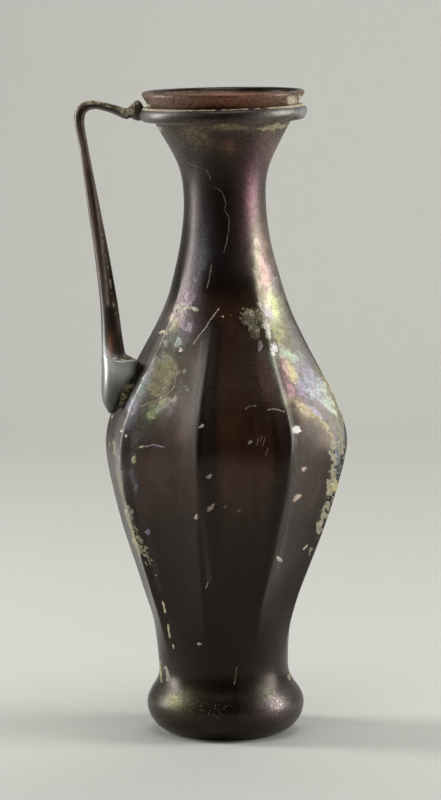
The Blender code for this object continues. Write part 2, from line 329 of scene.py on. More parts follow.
def spline(stations, t):
    pts = np.array(stations, dtype=float)
    n = len(pts)
    t = np.clip(np.asarray(t, float), 0.0, n - 1.0)
    i = np.minimum(t.astype(int), n - 2)
    f = (t - i)[..., None]
    p0, p1, p2, p3 = pts[np.maximum(i - 1, 0)], pts[i], pts[i + 1], pts[np.minimum(i + 2, n - 1)]
    return 0.5 * (2 * p1 + (p2 - p0) * f + (2 * p0 - 5 * p1 + 4 * p2 - p3) * f * f
                  + (3 * p1 - p0 - 3 * p2 + p3) * f**3)


def handle_surface(station, angle):
    """Points of the handle; angle 0 faces away along the lean, -90 the front."""
    station, angle = np.broadcast_arrays(np.asarray(station, float), np.asarray(angle, float))
    at = spline(HANDLE, station)
    x, z, a, b, lean, front = [at[..., k] for k in range(6)]
    t = np.radians(angle)
    wx, wz = np.cos(np.radians(lean)), np.sin(np.radians(lean))
    # drawn while soft: fine lengthwise furrows on the rod
    rod = smooth(3.5, 5.0, station) * (1.0 - smooth(12.5, 13.6, station))
    groove = noise3(np.stack([3.0 * np.cos(t), 3.0 * np.sin(t), station * 0.35], -1), 1.1, 4)
    swell = 1.0 + 0.045 * rod * groove
    px = x + a * swell * np.cos(t) * wx
    pz = z + a * swell * np.cos(t) * wz
    py = -front + b * swell * np.sin(t)
    middle = sway(pz)
    azimuth = np.degrees(np.arctan2(px - middle, -py))
    radius = np.hypot(px - middle, py)
    least = wall_radius(pz) * rib_factor(turn_at(azimuth), pz) - PAD_BITE
    push = np.where((radius < least) & (pz < 190.0), least / np.maximum(radius, 1e-6), 1.0)
    return np.stack([middle + (px - middle) * push, py * push, pz], -1)


# --------------------------------------------------------- places in the view
def seen_at(p_mm):
    """Where points of the object lie in the picture, in its pixels."""
    x = p_mm[..., 0] * MM - CAMERA_SIDE
    y = p_mm[..., 1] * MM + CAMERA_BACK
    z = p_mm[..., 2] * MM - CAMERA_HEIGHT
    depth = y * math.cos(CAMERA_PITCH) - z * math.sin(CAMERA_PITCH)
    up = y * math.sin(CAMERA_PITCH) + z * math.cos(CAMERA_PITCH)
    return np.stack([FRAME_W / 2 + FOCAL_PX * x / depth, FRAME_H / 2 - FOCAL_PX * up / depth], -1)


def warped(uv, amount, size, seed):
    p = np.concatenate([uv, np.full(uv.shape[:-1] + (1,), seed * 7.7)], -1)
    return uv + amount * np.stack([noise3(p, size, seed), noise3(p, size, seed + 3)], -1)


def spot(uv, cx, cy, rx, ry, lean=0.0, edge=4.0):
    """1 in a spot, 0.5 on its rim, 0 well outside."""
    a = math.radians(lean)
    dx, dy = uv[..., 0] - cx, uv[..., 1] - cy
    u = (dx * math.cos(a) + dy * math.sin(a)) / rx
    v = (-dx * math.sin(a) + dy * math.cos(a)) / ry
    return 1.0 / (1.0 + (u * u + v * v) ** (edge / 2.0))


def stroke(uv, points, width, edge=4.0):
    """1 along a line, 0.5 at half its width from it."""
    best = np.full(uv.shape[:-1], 1e9)
    for (x0, y0), (x1, y1) in zip(points[:-1], points[1:]):
        dx, dy = x1 - x0, y1 - y0
        t = np.clip(((uv[..., 0] - x0) * dx + (uv[..., 1] - y0) * dy) / (dx * dx + dy * dy), 0, 1)
        best = np.minimum(best, np.hypot(uv[..., 0] - x0 - t * dx, uv[..., 1] - y0 - t * dy))
    return 1.0 / (1.0 + (best / (width / 2.0)) ** edge)


def srgb(r, g, b):
    def lin(c):
        c /= 255.0
        return c / 12.92 if c <= 0.04045 else ((c + 0.055) / 1.055) ** 2.4
    return (lin(r), lin(g), lin(b), 1.0)


CREAM, PALE, OLIVE, UMBER = (196, 184, 162), (222, 216, 204), (112, 104, 82), (88, 76, 58)

# Mineral crust on the side in view: where, how big, how thick (mm), what
# colour. Spots are x, y, half width, half height, lean; lines are points and
# a width.
CRUST_SPOTS = (
    (291, 101, 5.5, 5.0, 0, 0.35, CREAM), (300, 101, 2.5, 5.0, 0, 0.20, CREAM),
    (147, 106, 4.0, 2.2, 20, 0.25, CREAM), (262, 87.5, 6.5, 1.1, 0, 0.20, CREAM),
    (159, 129, 3.0, 2.4, 40, 0.18, CREAM), (273, 127, 14.0, 3.0, -8, 0.10, (150, 138, 112)),
    (226, 127, 18.0, 2.6, 0, 0.08, (128, 112, 84)), (205, 136, 4.5, 2.5, 25, 0.08, OLIVE),
    (252, 318, 11.0, 8.0, 10, 0.45, OLIVE), (248, 313, 9.0, 2.2, -6, 0.40, (160, 150, 122)),
    (254, 333, 4.0, 7.0, -20, 0.35, (104, 94, 76)), (260, 346, 2.2, 6.0, 8, 0.22, (152, 128, 130)),
    (267, 329, 3.6, 9.5, -12, 0.35, PALE), (274, 349, 3.4, 6.2, 12, 0.30, (240, 238, 234)),
    (259, 304, 2.0, 3.0, 0, 0.20, PALE), (171, 331, 1.6, 1.8, 0, 0.15, CREAM),
    (181, 350, 2.4, 2.4, 0, 0.15, PALE), (296.5, 430, 4.4, 3.4, 0, 0.25, (240, 238, 232)),
    (201.5, 426.5, 2.7, 1.4, -25, 0.15, (168, 158, 156)), (209, 476.5, 3.0, 2.0, -30, 0.18, (160, 144, 136)),
    (210.5, 507.5, 5.6, 1.7, -42, 0.18, (156, 142, 136)), (224.5, 507, 2.4, 1.1, 10, 0.12, (120, 106, 100)),
    (239, 511, 2.4, 1.1, 5, 0.12, (116, 100, 94)), (196.5, 517.5, 2.2, 2.6, 0, 0.16, (170, 158, 146)),
    (304, 469, 3.0, 1.9, -20, 0.18, (170, 152, 142)), (297.5, 497.5, 5.0, 2.0, -42, 0.20, (190, 168, 152)),
    (279, 559.5, 3.0, 2.0, 45, 0.18, (186, 178, 160)), (250, 442.5, 2.4, 1.6, -40, 0.12, (150, 140, 134)),
    (141.5, 447, 2.6, 1.0, 0, 0.15, CREAM), (148.5, 532, 2.6, 2.6, 0, 0.12, (116, 114, 132)),
    (222.5, 317, 1.3, 1.3, 0, 0.18, CREAM), (199.5, 644, 2.0, 1.6, 40, 0.15, (170, 166, 150)),
    (126, 436, 1.5, 1.5, 0, 0.15, PALE), (121, 431, 1.2, 1.2, 0, 0.15, PALE),
    (289, 676.5, 1.3, 3.2, -10, 0.15, (138, 132, 100)), (272, 697, 1.0, 1.0, 0, 0.12, CREAM),
    (334, 487, 5.0, 5.5, 0, 0.35, (196, 186, 140)), (134, 459, 2.0, 4.5, 10, 0.20, (176, 168, 130)),
    (125, 512, 1.6, 3.0, 0, 0.15, CREAM),
)
CRUST_LINES = (
    (((176, 310.5), (179.5, 306.5), (186, 309), (190, 307.5), (196.5, 309)), 3.6, 0.35, (226, 220, 200)),
    (((159, 333), (163, 331), (168, 334)), 2.0, 0.20, CREAM),
    (((218.8, 308.6), (211, 319), (205, 329), (199, 336), (193.3, 344.5)), 1.15, 0.12, (176, 168, 150)),
    (((187, 161), (191, 165), (196, 167), (202, 166.5)), 0.9, 0.07, (116, 100, 90)),
    (((207, 170), (210, 177), (211, 180)), 0.9, 0.07, (116, 100, 92)),
    (((214, 187), (219, 189), (223, 194), (226, 203), (224, 210), (229, 217), (229, 226), (227, 240), (224, 252)),
     0.9, 0.07, (122, 108, 98)),
    (((211.6, 265), (210, 277), (207, 288)), 1.0, 0.08, (124, 128, 104)),
    (((258, 303), (262, 310), (266, 318), (264, 328)), 2.2, 0.25, (206, 200, 180)),
    (((297, 405), (305, 409), (313, 413), (319, 419), (325, 425), (331, 437)), 3.2, 0.30, (206, 190, 156)),
    (((303, 549), (307, 546)), 1.6, 0.20, CREAM),
    (((332.5, 394), (338, 410), (342, 426)), 2.4, 0.20, (150, 150, 120)),
    (((315, 366), (322, 376), (329, 386)), 1.6, 0.20, (168, 158, 120)),
    (((147, 552), (150, 564)), 1.6, 0.15, (140, 132, 108)),
    (((163, 602), (165.5, 612)), 2.2, 0.20, (214, 200, 166)), (((168, 625), (170, 637)), 2.0, 0.18, (196, 190, 150)),
    (((173, 645), (174, 648)), 1.6, 0.15, CREAM),
    (((165.5, 668), (168, 674), (168, 680)), 3.0, 0.15, (150, 144, 128)),
    (((160, 662), (160.2, 670), (161.5, 682)), 1.6, 0.12, (160, 150, 116)),
    (((236.2, 668), (235.4, 676), (234.4, 684)), 1.6, 0.08, (84, 78, 54)),
    (((146, 446.5), (154, 444.8), (163, 447)), 1.5, 0.08, (140, 128, 150)),
    (((163, 352), (172, 357), (177.5, 370), (174, 388), (163, 398), (152, 402), (140, 407)), 1.5, 0.10, (150, 136, 122)),
    (((268, 410), (273, 409), (279, 410), (284, 411.5)), 1.3, 0.10, (178, 160, 146)),
    (((245, 409), (250, 406), (256, 406)), 0.9, 0.07, (128, 116, 96)),
    (((123, 393), (128, 383), (136, 372), (140, 360)), 2.0, 0.25, (150, 138, 104)),
    (((262, 436), (260.5, 441)), 0.8, 0.06, (134, 108, 84)), (((265, 438), (262, 447)), 0.8, 0.06, (134, 108, 84)),
    (((268, 448), (265, 455)), 0.8, 0.06, (134, 108, 84)), (((258, 437), (257, 446)), 0.8, 0.06, (120, 98, 78)),
    (((208, 583), (206, 588)), 1.0, 0.08, (150, 146, 138)),
)

# Iridescent weathering on the side in view, painted in this order, with a strength; its pale bright rows right of the
# neck and on the shoulders lie in the side lamps' highlights and carry painted highlight as well. The strong ones also
# carry flakes of film.
FILM_AND_HIGHLIGHT_SPOTS = (
    # left of the neck and the left shoulder
    (196, 262, 8.0, 26.0, 12, (132, 124, 134), 0.50), (202, 268, 2.6, 13.0, 28, (96, 124, 112), 0.45),
    (189, 298, 9.0, 16.0, 20, (150, 128, 150), 0.75), (178, 316, 9.0, 12.0, 25, (180, 156, 154), 0.85),
    (174, 327, 5.0, 7.0, 15, (190, 182, 112), 0.60), (188, 328, 7.0, 11.0, 25, (148, 126, 148), 0.80),
    (178, 343, 4.5, 6.0, -15, (178, 198, 186), 0.80), (168, 336, 6.0, 12.0, 25, (142, 148, 138), 0.60),
    (182, 372, 9.0, 26.0, 10, (56, 44, 40), 0.50), (184, 396, 9.0, 18.0, 10, (46, 50, 48), 0.45),
    (151, 374, 6.5, 26.0, 31, (174, 176, 184), 0.90), (143, 388, 4.0, 8.0, 30, (136, 170, 148), 0.70),
    (163, 374, 12.0, 23.0, 20, (128, 118, 80), 0.92), (166, 364, 7.0, 9.0, 20, (136, 138, 84), 0.70),
    (157, 390, 9.0, 7.0, 10, (134, 116, 84), 0.70), (138, 399, 5.0, 4.0, -20, (84, 88, 86), 0.70),
    (161, 404, 12.0, 6.5, -30, (160, 168, 112), 0.80), (153, 413, 8.0, 7.0, -35, (130, 154, 94), 0.75),
    (169, 410, 8.0, 11.0, 30, (132, 108, 122), 0.60), (133, 407, 6.0, 10.0, 20, (174, 170, 178), 0.80),
    (129, 420, 5.0, 12.0, 12, (140, 140, 152), 0.65),
    # right of the neck and the right shoulder
    (262, 250, 7.0, 26.0, -6, (186, 172, 148), 0.65), (266, 278, 7.0, 26.0, -8, (204, 160, 152), 0.80),
    (257, 268, 3.4, 30.0, -6, (176, 172, 134), 0.65), (274, 286, 5.0, 20.0, -10, (176, 160, 160), 0.60),
    (274, 308, 7.0, 17.0, -16, (206, 214, 150), 0.85), (267, 312, 5.0, 10.0, -10, (200, 188, 196), 0.80),
    (278, 333, 8.0, 13.0, -22, (148, 146, 84), 0.85), (284, 352, 7.0, 9.0, -20, (158, 144, 128), 0.70),
    (292, 357, 11.0, 6.0, 28, (186, 214, 180), 0.90), (303, 372, 9.0, 14.0, -30, (150, 132, 150), 0.85),
    (287, 368, 4.5, 9.0, -20, (216, 170, 166), 0.85), (293, 374, 3.6, 13.0, -24, (214, 202, 140), 0.90),
    (290, 389, 4.6, 12.0, -26, (194, 138, 146), 0.85), (310, 388, 9.0, 17.0, -25, (158, 158, 168), 0.90),
    (322, 393, 7.0, 19.0, -26, (150, 154, 158), 0.90), (302, 392, 3.4, 10.0, -30, (142, 126, 158), 0.85),
    (331, 402, 5.0, 20.0, -22, (160, 172, 142), 0.85), (306, 410, 16.0, 6.0, 34, (212, 190, 150), 0.90),
    (316, 413, 10.0, 2.6, 38, (128, 128, 164), 0.80), (338, 452, 3.4, 26.0, 4, (92, 116, 134), 0.80),
    (118, 462, 5.0, 26.0, -12, (112, 114, 120), 0.75), (134, 480, 5.0, 18.0, -20, (98, 98, 112), 0.60),
)

# Painted highlights, painted reflections and painted shade on the glass, mixed with some iridescent and brown tints of
# its own: same order, with a strength.
HIGHLIGHT_AND_SHEEN_SPOTS = (
    (251, 200, 5.5, 28.0, 0, (146, 58, 104), 0.75), (258, 205, 5.0, 40.0, 0, (150, 134, 132), 0.35),
    (195, 215, 6.5, 46.0, 0, (136, 126, 132), 0.48), (203, 250, 4.0, 26.0, 8, (64, 84, 80), 0.40),
    (259, 160, 7.0, 26.0, 10, (112, 64, 84), 0.35), (274, 150, 10.0, 28.0, -14, (110, 86, 74), 0.60),
    (184, 142, 12.0, 22.0, 30, (52, 44, 42), 0.40), (227, 128, 52.0, 5.0, 0, (104, 80, 54), 0.70),
    (205, 142, 22.0, 8.0, 15, (80, 60, 42), 0.55), (196, 134, 8.0, 5.0, 15, (98, 88, 50), 0.70),
    (230, 147, 7.0, 6.0, 0, (112, 58, 30), 0.60), (288, 322, 9.0, 46.0, -22, (140, 136, 140), 0.55),
    (180, 700, 14.0, 9.0, 0, (118, 120, 78), 0.60), (176, 702, 6.0, 6.0, 0, (144, 142, 84), 0.45),
    (275, 704, 12.0, 10.0, 0, (180, 158, 160), 0.55), (268, 694, 7.0, 5.0, 0, (140, 154, 110), 0.45),
    (163, 693, 8.0, 12.0, 10, (48, 58, 62), 0.30), (290, 694, 8.0, 12.0, -10, (70, 70, 78), 0.30),
    (142, 432, 12.0, 14.0, 0, (82, 66, 60), 0.40), (307, 428, 11.0, 14.0, 0, (118, 98, 90), 0.55),
    (310, 468, 14.0, 40.0, 0, (70, 58, 54), 0.30), (300, 530, 10.0, 34.0, 14, (50, 42, 40), 0.25),
    (160, 475, 14.0, 26.0, 0, (60, 50, 36), 0.25), (112, 440, 7.0, 26.0, 0, (110, 100, 98), 0.50),
    (136, 448, 6.0, 18.0, 0, (72, 88, 76), 0.40), (266, 384, 8.0, 34.0, -12, (118, 62, 42), 0.55),
    (250, 365, 18.0, 30.0, 0, (78, 50, 42), 0.35), (215, 390, 12.0, 40.0, 0, (46, 38, 36), 0.25),
    # the collar and the lip catch the light at both ends
    (166, 113.4, 19.0, 2.8, -1, (162, 164, 164), 0.60), (150, 117, 9.0, 5.0, 0, (142, 142, 144), 0.50),
    (284, 112.6, 19.0, 3.2, -5, (196, 192, 182), 0.62), (303, 113, 5.0, 6.0, 0, (168, 164, 168), 0.60),
    (206, 113.5, 18.0, 2.2, 0, (50, 56, 60), 0.35), (224, 122, 40.0, 2.4, 0, (38, 26, 27), 0.40),
    (163, 91.4, 20.0, 1.3, -1, (120, 110, 102), 0.25), (288, 89.4, 17.0, 1.3, 2, (130, 120, 110), 0.22),
)
# Painted highlights along the ridges' edges: lines through points, width, colour, strength.
RIDGE_HIGHLIGHT_LINES = (
    (((202, 340), (197, 370), (193, 405), (193.5, 440), (196, 472), (201, 512), (206, 552), (209, 580)),
     3.0, (84, 94, 96), 0.50),
    (((272, 352), (275, 366), (280, 384), (286, 402)), 5.5, (160, 172, 152), 0.70),
    (((286, 402), (291, 418), (295, 440)), 4.2, (108, 114, 104), 0.60),
    (((295, 440), (297, 473), (293, 500), (289, 520), (282, 550), (276, 575)), 3.6, (74, 80, 76), 0.50),
    (((134, 440), (131, 470), (138, 505), (150, 545), (160, 590)), 3.5, (56, 62, 62), 0.40),
)
# Dark sides of the front ridges: thicker glass, with painted shade where the crests mirror the dark front.
DARK_GLASS_AND_SHADE_LINES = (
    (((212, 330), (208, 370), (205, 410), (206, 450), (210, 500), (216, 550), (220, 590)), 17.0, 0.85),
    (((266, 355), (273, 385), (280, 415), (284, 445), (283, 480), (277, 515), (268, 555), (262, 590)), 15.0, 0.85),
)

# Ragged fields of flakes: place, size, lean, thickness, colour, cover.
CRUST_FIELDS = (
    (334, 400, 6.0, 28.0, -24, 0.20, (176, 170, 144), 0.28), (340, 438, 5.0, 28.0, -5, 0.22, (160, 156, 134), 0.30),
    (333, 448, 4.0, 34.0, -2, 0.24, (172, 168, 146), 0.32), (331, 484, 5.0, 24.0, 8, 0.24, (166, 160, 134), 0.36),
    (338, 470, 5.0, 24.0, 6, 0.18, (128, 130, 122), 0.05), (323, 516, 5.5, 26.0, 20, 0.24, (160, 154, 128), 0.28),
    (331, 512, 5.0, 24.0, 20, 0.16, (110, 106, 92), 0.05),
    (313, 548, 5.0, 16.0, 24, 0.22, (140, 134, 110), -0.10), (322, 395, 12.0, 18.0, -25, 0.10, (176, 172, 150), -0.22),
    (308, 412, 16.0, 5.0, 36, 0.14, (204, 190, 158), 0.0),
    (111, 446, 6.0, 20.0, -6, 0.24, (164, 158, 134), 0.26), (117, 482, 7.0, 24.0, -14, 0.22, (136, 132, 118), 0.26),
    (128, 517, 8.0, 22.0, -22, 0.22, (140, 136, 118), 0.26), (139, 544, 7.0, 22.0, -24, 0.26, (156, 150, 122), 0.26),
    (122, 496, 11.0, 30.0, -18, 0.12, (112, 106, 92), -0.20), (152, 566, 4.0, 14.0, -20, 0.18, (140, 132, 108), -0.15),
    (190, 131, 20.0, 5.0, 10, 0.10, (104, 88, 62), -0.08), (250, 126, 30.0, 3.4, 0, 0.12, (128, 114, 84), -0.02),
    (277, 127, 12.0, 5.0, -12, 0.14, (150, 140, 112), 0.05), (150, 340, 5.0, 24.0, 28, 0.10, (104, 92, 70), -0.10),
    (252, 316, 11.0, 6.0, 8, 0.40, (150, 140, 112), 0.60), (254, 330, 5.0, 9.0, -20, 0.34, (112, 104, 80), 0.50), (165, 350, 14.0, 8.0, 20, 0.08, (150, 138, 124), -0.20),
    (160, 668, 5.0, 14.0, 0, 0.12, (150, 142, 116), -0.15), (294, 365, 18.0, 12.0, -30, 0.08, (196, 188, 160), -0.28),
)

# The handle's tones in view, with a painted highlight on the pad, painted highlight lines on the rod and the arm, and
# painted shade along the pad's crease: spots and lines as above.
HANDLE_TONE_AND_HIGHLIGHT_SPOTS = (
    (112, 388, 14.0, 30.0, 0, (78, 80, 76), 1.0), (104, 378, 3.0, 30.0, 0, (108, 112, 110), 0.9),
    (118, 380, 7.0, 4.5, 10, (150, 152, 148), 0.8), (124, 370, 12.5, 8.5, 16, (240, 242, 236), 1.0),
    (110, 357, 3.2, 9.0, -22, (214, 214, 208), 0.8), (122, 396, 6.0, 5.0, 0, (62, 64, 58), 0.6),
    (138, 108, 6.0, 8.0, 10, (74, 68, 42), 0.9),
)
HANDLE_TONE_AND_HIGHLIGHT_LINES = (
    (((83, 122), (86, 140), (92, 170), (96, 196), (101, 236), (105, 270), (108, 305)), 2.6, (204, 184, 172), 0.85),
    (((79, 124), (84, 160), (90, 196), (95, 236), (100, 280)), 2.6, (104, 80, 60), 0.80),
    (((77.5, 112), (76.5, 126), (79, 144)), 1.6, (70, 66, 44), 0.80),
    (((90, 109), (100, 108), (112, 112), (124, 116)), 2.2, (146, 132, 138), 0.70),
    (((86, 104), (98, 103.5), (110, 107.5), (120, 111)), 3.2, (44, 34, 24), 0.85),
    (((110, 338), (111, 356)), 2.0, (206, 150, 108), 0.85),
    (((114, 340), (120, 358)), 5.0, (74, 54, 34), 0.70),
    (((139, 364), (136, 374), (129, 386), (121, 398), (112, 412)), 5.0, (24, 21, 14), 0.95),
)


def paint(uv, rows, seed, edge=5.0, wobble=2.2):
    """Lay soft-edged spots over each other: colour and cover."""
    w1 = warped(uv, wobble, 9.0, seed)
    rgb = np.zeros(uv.shape[:-1] + (3,))
    cover = np.zeros(uv.shape[:-1])
    for row in rows:
        cx, cy, rx, ry, lean, colour = row[:6]
        reach = 3.0 * max(rx, ry)
        near = (np.abs(uv[..., 0] - cx) < reach) & (np.abs(uv[..., 1] - cy) < reach)
        if not near.any():
            continue
        m = spot(w1[near], cx, cy, rx, ry, lean, edge)
        k = m * (row[6] if len(row) > 6 else 1.0)
        c = np.array(srgb(*colour)[:3])
        old = cover[near]
        both = np.maximum(k + old * (1 - k), 1e-6)
        rgb[near] = (c * k[:, None] + rgb[near] * (old * (1 - k))[:, None]) / both[:, None]
        cover[near] = k + old * (1 - k)
    return rgb, cover


def lay(rgb, cover, colour, k):
    """Put one more tone with its cover over what is there."""
    both = np.maximum(k + cover * (1 - k), 1e-6)
    tone = np.broadcast_to(colour, rgb.shape)
    rgb = (tone * k[..., None] + rgb * (cover * (1 - k))[..., None]) / both[..., None]
    return rgb, k + cover * (1 - k)


# ------------------------------------------------------------------- meshes
def to_frame(p_mm):
    return np.asarray(p_mm) * MM + np.array([AXIS[0], AXIS[1], 0.0])


def new_object(name, verts, faces, smooth_all=True):
    mesh = bpy.data.meshes.new(name)
    mesh.from_pydata(verts, [], faces)
    if smooth_all:
        mesh.shade_smooth()
    obj = bpy.data.objects.new(name, mesh)
    bpy.context.scene.collection.objects.link(obj)
    return obj


def set_value(obj, name, values):
    layer = obj.data.attributes.new(name, "FLOAT", "POINT")
    layer.data.foreach_set("value", np.asarray(values, np.float32).ravel())


def set_colour(obj, name, rgb):
    layer = obj.data.attributes.new(name, "FLOAT_COLOR", "POINT")
    rgba = np.concatenate([rgb, np.ones((len(rgb), 1))], 1)
    layer.data.foreach_set("color", np.asarray(rgba, np.float32).ravel())


def grid_faces(start, n_rows, n_cols, flip):
    i = np.arange(n_rows - 1)[:, None] * n_cols + start
    j = np.arange(n_cols)[None, :]
    k = (j + 1) % n_cols
    quads = np.stack([i + j, i + k, i + n_cols + k, i + n_cols + j], -1).reshape(-1, 4)
    return (quads[:, ::-1] if flip else quads).tolist()


def vessel_columns():
    """Azimuths of the columns, closer together on the side with the most detail."""
    near, far = ((178, 100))
    a = np.linspace(-95.0, 95.0, near, endpoint=False)
    b = np.linspace(95.0, 265.0, far, endpoint=False)
    return np.concatenate([a, b])


def build_vessel():
    azimuths = vessel_columns()
    thin = azimuths[::2]
    cols, n = len(azimuths), len(thin)
    outer = outer_surface(RUN[:, None], azimuths[None, :])
    inside, kick = inner_profile(), kick_profile()
    r, z = inside[:, :1], inside[:, 1:] * np.ones((1, n))
    ribbed = (z > 24.0) & (z < 165.0)
    factor = rib_factor(turn_at(thin)[None, :], z)
    inner = place(np.where(ribbed, wall_radius(z) * factor - (wall_radius(z) - r), r), thin[None, :], z)
    under = place(kick[:, :1], thin[None, :], kick[:, 1:] * np.ones((1, n)))
    base = [0, outer.shape[0] * cols, outer.shape[0] * cols + inner.shape[0] * n]
    faces = grid_faces(base[0], outer.shape[0], cols, False)
    faces += grid_faces(base[1], inner.shape[0], n, False)
    faces += grid_faces(base[2], under.shape[0], n, True)

    def halve(fine, coarse, flip):
        for i in range(n):
            j = (i + 1) % n
            a, b, c = fine + 2 * i, fine + 2 * i + 1, fine + (2 * i + 2) % cols
            for f in ((a, b, coarse + i), (b, coarse + j, coarse + i), (b, c, coarse + j)):
                faces.append(f[::-1] if flip else f)

    halve(base[0] + (outer.shape[0] - 1) * cols, base[1], False)
    halve(base[0], base[2], True)
    verts = np.vstack([outer.reshape(-1, 3), inner.reshape(-1, 3), under.reshape(-1, 3),
                       place(0.0, 0.0, FLOOR_HEIGHT)[None], place(0.0, 0.0, KICK_HEIGHT)[None]])
    top = len(verts) - 2
    last_in = base[1] + (inner.shape[0] - 1) * n
    last_kick = base[2] + (under.shape[0] - 1) * n
    for i in range(n):
        j = (i + 1) % n
        faces.append((last_in + i, last_in + j, top))
        faces.append((last_kick + j, last_kick + i, top + 1))
    az_all = np.concatenate([np.tile(azimuths, outer.shape[0]), np.tile(thin, inner.shape[0] + under.shape[0]), [0, 0]])
    run_all = np.full(len(verts), -1.0)
    run_all[:base[1]] = np.repeat(RUN, cols)
    return verts, faces, az_all, run_all


def vessel_marks(verts, azimuth, run):
    """Soft fields over the glass: thick glass with painted shade, weathering tints with painted highlights, their
    cover, sparkle.
    """
    outer = run >= 0.0
    z = verts[:, 2]
    azimuth = (azimuth + 180.0) % 360.0 - 180.0
    ridge = np.zeros(len(verts))
    for k, rib in enumerate(RIB_AZIMUTHS):
        away = (azimuth - rib + 180.0) % 360.0 - 180.0
        # the dark band beside each crest is thicker glass with painted shade, on the side facing the middle panel
        lean = {1: 2.6, 2: -3.4, 3: -1.0}.get(k, 0.0)      # the dark side faces the middle panel
        spread = 3.4 + 5.0 * (1.0 - smooth(40.0, 100.0, z))
        ridge = np.maximum(ridge, np.exp(-((away - lean) / spread) ** 4) * rib_strength(z))
    rough = fbm(verts, 6.0, 3, 5)
    uv = seen_at(verts)
    facing = 1.0 - smooth(82.0, 94.0, np.abs(azimuth))
    ridge = ridge * (1.0 - 0.75 * facing * (np.abs(azimuth) < 45.0))
    dense_and_shade = 0.85 * ridge * (0.85 + 0.3 * rough)
    # painted shade on the dark sides of the front ridges, laid in with the thick glass
    for line, width, strength in DARK_GLASS_AND_SHADE_LINES:
        dense_and_shade = np.maximum(dense_and_shade, strength * facing * stroke(warped(uv, 1.5, 14.0, 5), line, width, 2.6))
    dense_and_shade = np.maximum(dense_and_shade, 0.90 * (1.0 - smooth(50.0, 92.0, z)))
    dense_and_shade = np.maximum(dense_and_shade, 1.0 - smooth(14.0, 30.0, z + 2.0 * rough))
    dense_and_shade = np.maximum(dense_and_shade, smooth(144.0, 168.0, z) * (1.0 - smooth(204.0, 211.0, z)) * 0.95)
    dense_and_shade = np.maximum(dense_and_shade, np.where((run > COLLAR_LOW) & (run < COLLAR_LOW + 11.6), 1.0, 0.0))
    dense_and_shade = np.maximum(dense_and_shade, smooth(218.2, 218.9, z) * smooth(84.0, 96.0, np.abs(azimuth)))
    dense_and_shade = np.where(outer, np.clip(dense_and_shade, 0, 1), 0.0)
    rgb, cover = paint(uv, HIGHLIGHT_AND_SHEEN_SPOTS, 3, edge=3.0, wobble=1.6)
    for line, width, colour, strength in RIDGE_HIGHLIGHT_LINES:
        k = strength * stroke(warped(uv, 0.6, 8.0, 6), line, width, 2.6)
        rgb, cover = lay(rgb, cover, srgb(*colour)[:3], k)
    film_and_highlight_rgb, film_and_highlight_cover = paint(uv, FILM_AND_HIGHLIGHT_SPOTS, 61, edge=3.0, wobble=2.6)
    rgb, cover = lay(rgb, cover, film_and_highlight_rgb, 0.85 * film_and_highlight_cover)
    # the plain band between the collar and the lip: brown glass with painted light shining through it, warmer in the
    # middle
    band = smooth(COLLAR_LOW + 11.2, COLLAR_LOW + 12.0, run) * facing
    warm = hump(azimuth, 4.0, 30.0)[:, None]
    mottle = (1.0 + 0.22 * fbm(verts, 3.5, 3, 17))[:, None]
    brown = np.array(srgb(102, 74, 56)[:3]) * (1 - warm) + np.array(srgb(140, 78, 42)[:3]) * warm
    rgb, cover = lay(rgb, cover, brown * mottle, 0.88 * band * (1.0 - 0.9 * cover))
    cover = cover * facing
    # the side out of view: plain weathered bloom in soft patches
    back = smooth(84.0, 96.0, np.abs(azimuth)) * smooth(20.0, 40.0, z)
    bloom = smooth(0.05, 0.5, fbm(verts * (1.0, 1.0, 0.5), 26.0, 3, 9)) * 0.5
    tones = np.array([srgb(118, 98, 92)[:3], srgb(104, 100, 112)[:3], srgb(96, 84, 60)[:3]])
    pick = smooth(-0.4, 0.4, fbm(verts, 22.0, 2, 12))[:, None]
    pick2 = smooth(0.0, 0.5, fbm(verts, 15.0, 2, 14))[:, None]
    rgb_back = tones[0] * (1 - pick) + tones[1] * pick
    rgb_back = rgb_back * (1 - pick2) + tones[2] * pick2
    cover_back = bloom * back
    both = np.maximum(cover + cover_back, 1e-6)
    rgb = (rgb * cover[:, None] + rgb_back * cover_back[:, None]) / both[:, None]
    cover = np.clip(cover + cover_back, 0.0, 1.0)
    cover = np.where(outer, cover, 0.0)
    spots = np.maximum.reduce([spot(uv, 214, 709, 15, 7), spot(uv, 180, 703, 13, 9), spot(uv, 276, 702, 13, 11)])
    sparkle = np.where(outer & (np.abs(azimuth) < 90.0), (1.0 - smooth(20.0, 26.0, z)) * spots, 0.0)
    return dense_and_shade, rgb, cover, sparkle


def build_handle():
    steps, around = ((420, 44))
    n = len(HANDLE) - 1
    station = np.linspace(0.0, n, steps + 1)[:, None]
    angle = np.arange(around)[None, :] * 360.0 / around
    points = handle_surface(station, angle)
    faces = grid_faces(0, steps + 1, around, False)
    faces.append(tuple(range(around))[::-1])
    faces.append(tuple(steps * around + q for q in range(around)))
    return points.reshape(-1, 3), faces, np.repeat(station.ravel(), around), np.tile(angle.ravel(), steps + 1)


def normals_of(points):
    du = np.gradient(points, axis=0)
    dv = np.gradient(points, axis=1)
    nrm = np.cross(dv, du)
    return nrm / np.maximum(np.linalg.norm(nrm, axis=-1, keepdims=True), 1e-9)


